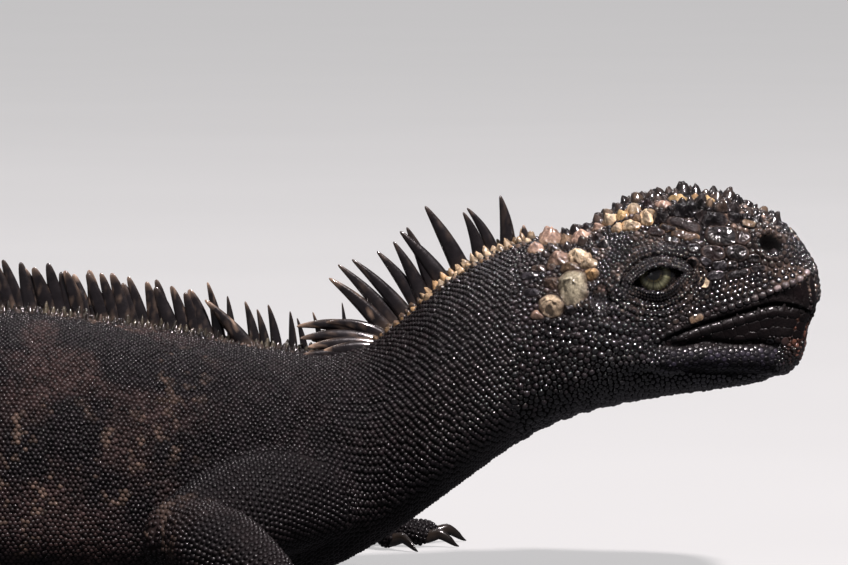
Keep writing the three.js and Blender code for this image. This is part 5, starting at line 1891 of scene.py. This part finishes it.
def eye_material(side, centre, gaze):
    """A dark pupil and a fibrous olive iris round the line of sight, under a wet cornea."""
    material, tree, shader = node_tree(f"eye_{side}")
    place = add_node(tree, "ShaderNodeTexCoord")
    from_centre = add_node(tree, "ShaderNodeVectorMath", {1: centre * MM}, "SUBTRACT")
    direction = add_node(tree, "ShaderNodeVectorMath", operation="NORMALIZE")
    ahead = add_node(tree, "ShaderNodeVectorMath", {1: gaze}, "DOT_PRODUCT")
    angle = add_node(tree, "ShaderNodeMath", operation="ARCCOSINE")
    share = add_node(tree, "ShaderNodeMapRange", {"From Max": math.radians(RAMP_DEGREES)})
    across = add_node(tree, "ShaderNodeVectorMath", {1: gaze}, "CROSS_PRODUCT")
    around = add_node(tree, "ShaderNodeVectorMath", operation="NORMALIZE")
    fibres = add_node(tree, "ShaderNodeTexNoise", {"Scale": 9, "Detail": 5})
    ramp = add_node(tree, "ShaderNodeValToRGB")
    pupil, iris = PUPIL_DEGREES / RAMP_DEGREES, IRIS_DEGREES / RAMP_DEGREES
    stops = [
        (0, (0.003, 0.003, 0.003)), (pupil * 0.92, (0.003, 0.003, 0.003)),
        (pupil * 1.08, (0.034, 0.028, 0.009)), (pupil * 1.4, (0.028, 0.027, 0.014)),
        (iris * 0.72, (0.17, 0.17, 0.1)), (iris * 0.93, (0.05, 0.047, 0.022)),
        (iris * 1.05, (0.006, 0.005, 0.004)), (1, (0.009, 0.006, 0.005)),
    ]
    while len(ramp.color_ramp.elements) < len(stops):
        ramp.color_ramp.elements.new(1)
    for element, (position, colour) in zip(ramp.color_ramp.elements, stops):
        element.position = position
        element.color = (*colour, 1)
    for source, output, target, socket in (
        (place, "Object", from_centre, 0), (from_centre, "Vector", direction, 0),
        (direction, "Vector", ahead, 0), (ahead, "Value", angle, 0), (angle, "Value", share, "Value"),
        (share, "Result", ramp, "Fac"), (direction, "Vector", across, 0), (across, "Vector", around, 0),
        (around, "Vector", fibres, "Vector"),
    ):
        link(tree, source, output, target, socket)
    level = spread(tree, fibres, "Fac", 0.35, 1.9)
    link(tree, scaled(tree, ramp, "Color", level), "Vector", shader, "Base Color")
    set_inputs(shader, {"Roughness": 0.25, "Coat Weight": 1, "Coat Roughness": 0.02, "Coat IOR": 1.5})
    return material


def make_eye(side, sign):
    centre = np.array([SNOUT_X - EYE["behind"], sign * eye_y, EYE["height"]])
    bend = np.radians(np.linspace(-88, 88, 60))
    along = np.array([0, sign, 0])
    centres = centre + along * EYE["radius"] * np.sin(bend)[:, None]
    size = EYE["radius"] * np.cos(bend)
    grid = rings_along(centres, np.repeat(along[None].astype(float), len(bend), 0), size, size, 72)
    ends = centre + along * EYE["radius"] * np.array([[-1], [1]])
    gaze = unit(np.array([GAZE["forward"], sign, GAZE["up"]]))
    ball = make_object(f"eyeball_{side}", *closed_tube(grid, ends), eye_material(side, centre, gaze), "eye")
    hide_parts(f"eye_{side}")


def make_claws(leg):
    sizes = LEG_SIZES[leg["kind"]]
    for number, (degrees, length) in enumerate(sizes["toes"], 1):
        grid = claw_grid(leg, sizes, leg["palm_place"], degrees, length)
        points, faces = closed_tube(grid)
        share = np.append(np.repeat(np.linspace(0, 1, len(grid)), grid.shape[1]), [0, 1])
        pigment = mixed(CLAW_ROOT, CLAW_TIP, smooth(share, 0.1, 0.8))
        place = f"{sizes['names'][2]}_{leg['side']}_{number}"
        claw = make_object(f"horn_{place}", points, faces, claw_material, "claw", pigment)
        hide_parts(f"claw_{place}")


make_eye("left", 1)
make_eye("right", -1)
for leg in LEGS:
    make_claws(leg)


# Floor, light and camera

LIGHT_TARGET = (0.1, 0, 0.07)
# Each lamp is [name, place, size, power, colour].
LAMPS = [
    ("key", (1.3, -2, 3.2), (0.32, 0.32), 235, (1, 0.92, 0.92)),
    ("top", (-0.5, 0.3, 2.6), (0.5, 0.3), 12, (1, 0.96, 0.97)),
    ("front", (-1.6, -2.6, 1.3), (0.3, 0.3), 6, (1, 0.95, 0.98)),
    ("behind", (0.6, 1.6, 2), (1.2, 0.4), 7, (1, 0.93, 0.97)),
    ("glint", (1, -2.1, 2.6), (0.22, 0.22), 120, (1, 0.86, 0.91)),
]


def aimed(made, place, target):
    """The object put in its place and turned to face a target."""
    made.location = place
    made.rotation_euler = (Vector(target) - Vector(place)).to_track_quat("-Z", "Y").to_euler()
    bpy.context.scene.collection.objects.link(made)
    return made


def area_light(name, place, size, power, colour):
    light = bpy.data.lights.new(name, "AREA")
    light.shape = "RECTANGLE"
    light.size, light.size_y = size
    light.energy = power
    light.color = colour
    return aimed(bpy.data.objects.new(name, light), place, LIGHT_TARGET)


def make_floor():
    """A pale, faintly glowing floor that reaches far enough to fill the view."""
    sides, radius = 96, 30000
    turn = once_round(sides)
    rim = np.stack([radius * np.cos(turn), radius * np.sin(turn), np.zeros(sides)], -1)
    i = np.arange(sides)
    faces = np.stack([np.full(sides, sides), i, (i + 1) % sides], -1)
    material, tree, shader = node_tree("floor")
    grain = noise_node(tree, 3, 2)
    level = spread(tree, grain, "Fac", 0.24, 0.26)
    link(tree, level, "Result", shader, "Base Color")
    set_inputs(shader, {"Roughness": 0.8, "Specular IOR Level": 0})
    set_inputs(shader, {"Emission Color": (1, 0.985, 0.99, 1), "Emission Strength": 0.5})
    floor = make_object("floor", np.concatenate([rim, [[0, 0, 0]]]), faces, material, None)
    floor.visible_glossy = False
    floor.visible_diffuse = False


def make_light():
    world = bpy.data.worlds.new("studio")
    bpy.context.scene.world = world
    world.use_nodes = True
    set_inputs(world.node_tree.nodes["Background"], {"Color": (0.95, 0.9, 1, 1), "Strength": 0.1})
    for lamp in LAMPS:
        made = area_light(*lamp)
        # The glint shows only in gloss.
        made.visible_diffuse = lamp[0] != "glint"
    bpy.context.scene.view_settings.view_transform = "Standard"


def make_camera():
    camera = bpy.data.cameras.new("camera")
    camera.sensor_width = 36
    camera.lens = 36 * VIEW_DISTANCE / VIEW_WIDTH
    camera.clip_end = 100
    rise = math.radians(VIEW_ELEVATION)
    target = Vector(VIEW_CENTRE) * MM
    place = target + Vector((0, -math.cos(rise), math.sin(rise))) * VIEW_DISTANCE * MM
    bpy.context.scene.camera = aimed(bpy.data.objects.new("camera", camera), place, target)


make_floor()
make_light()
make_camera()
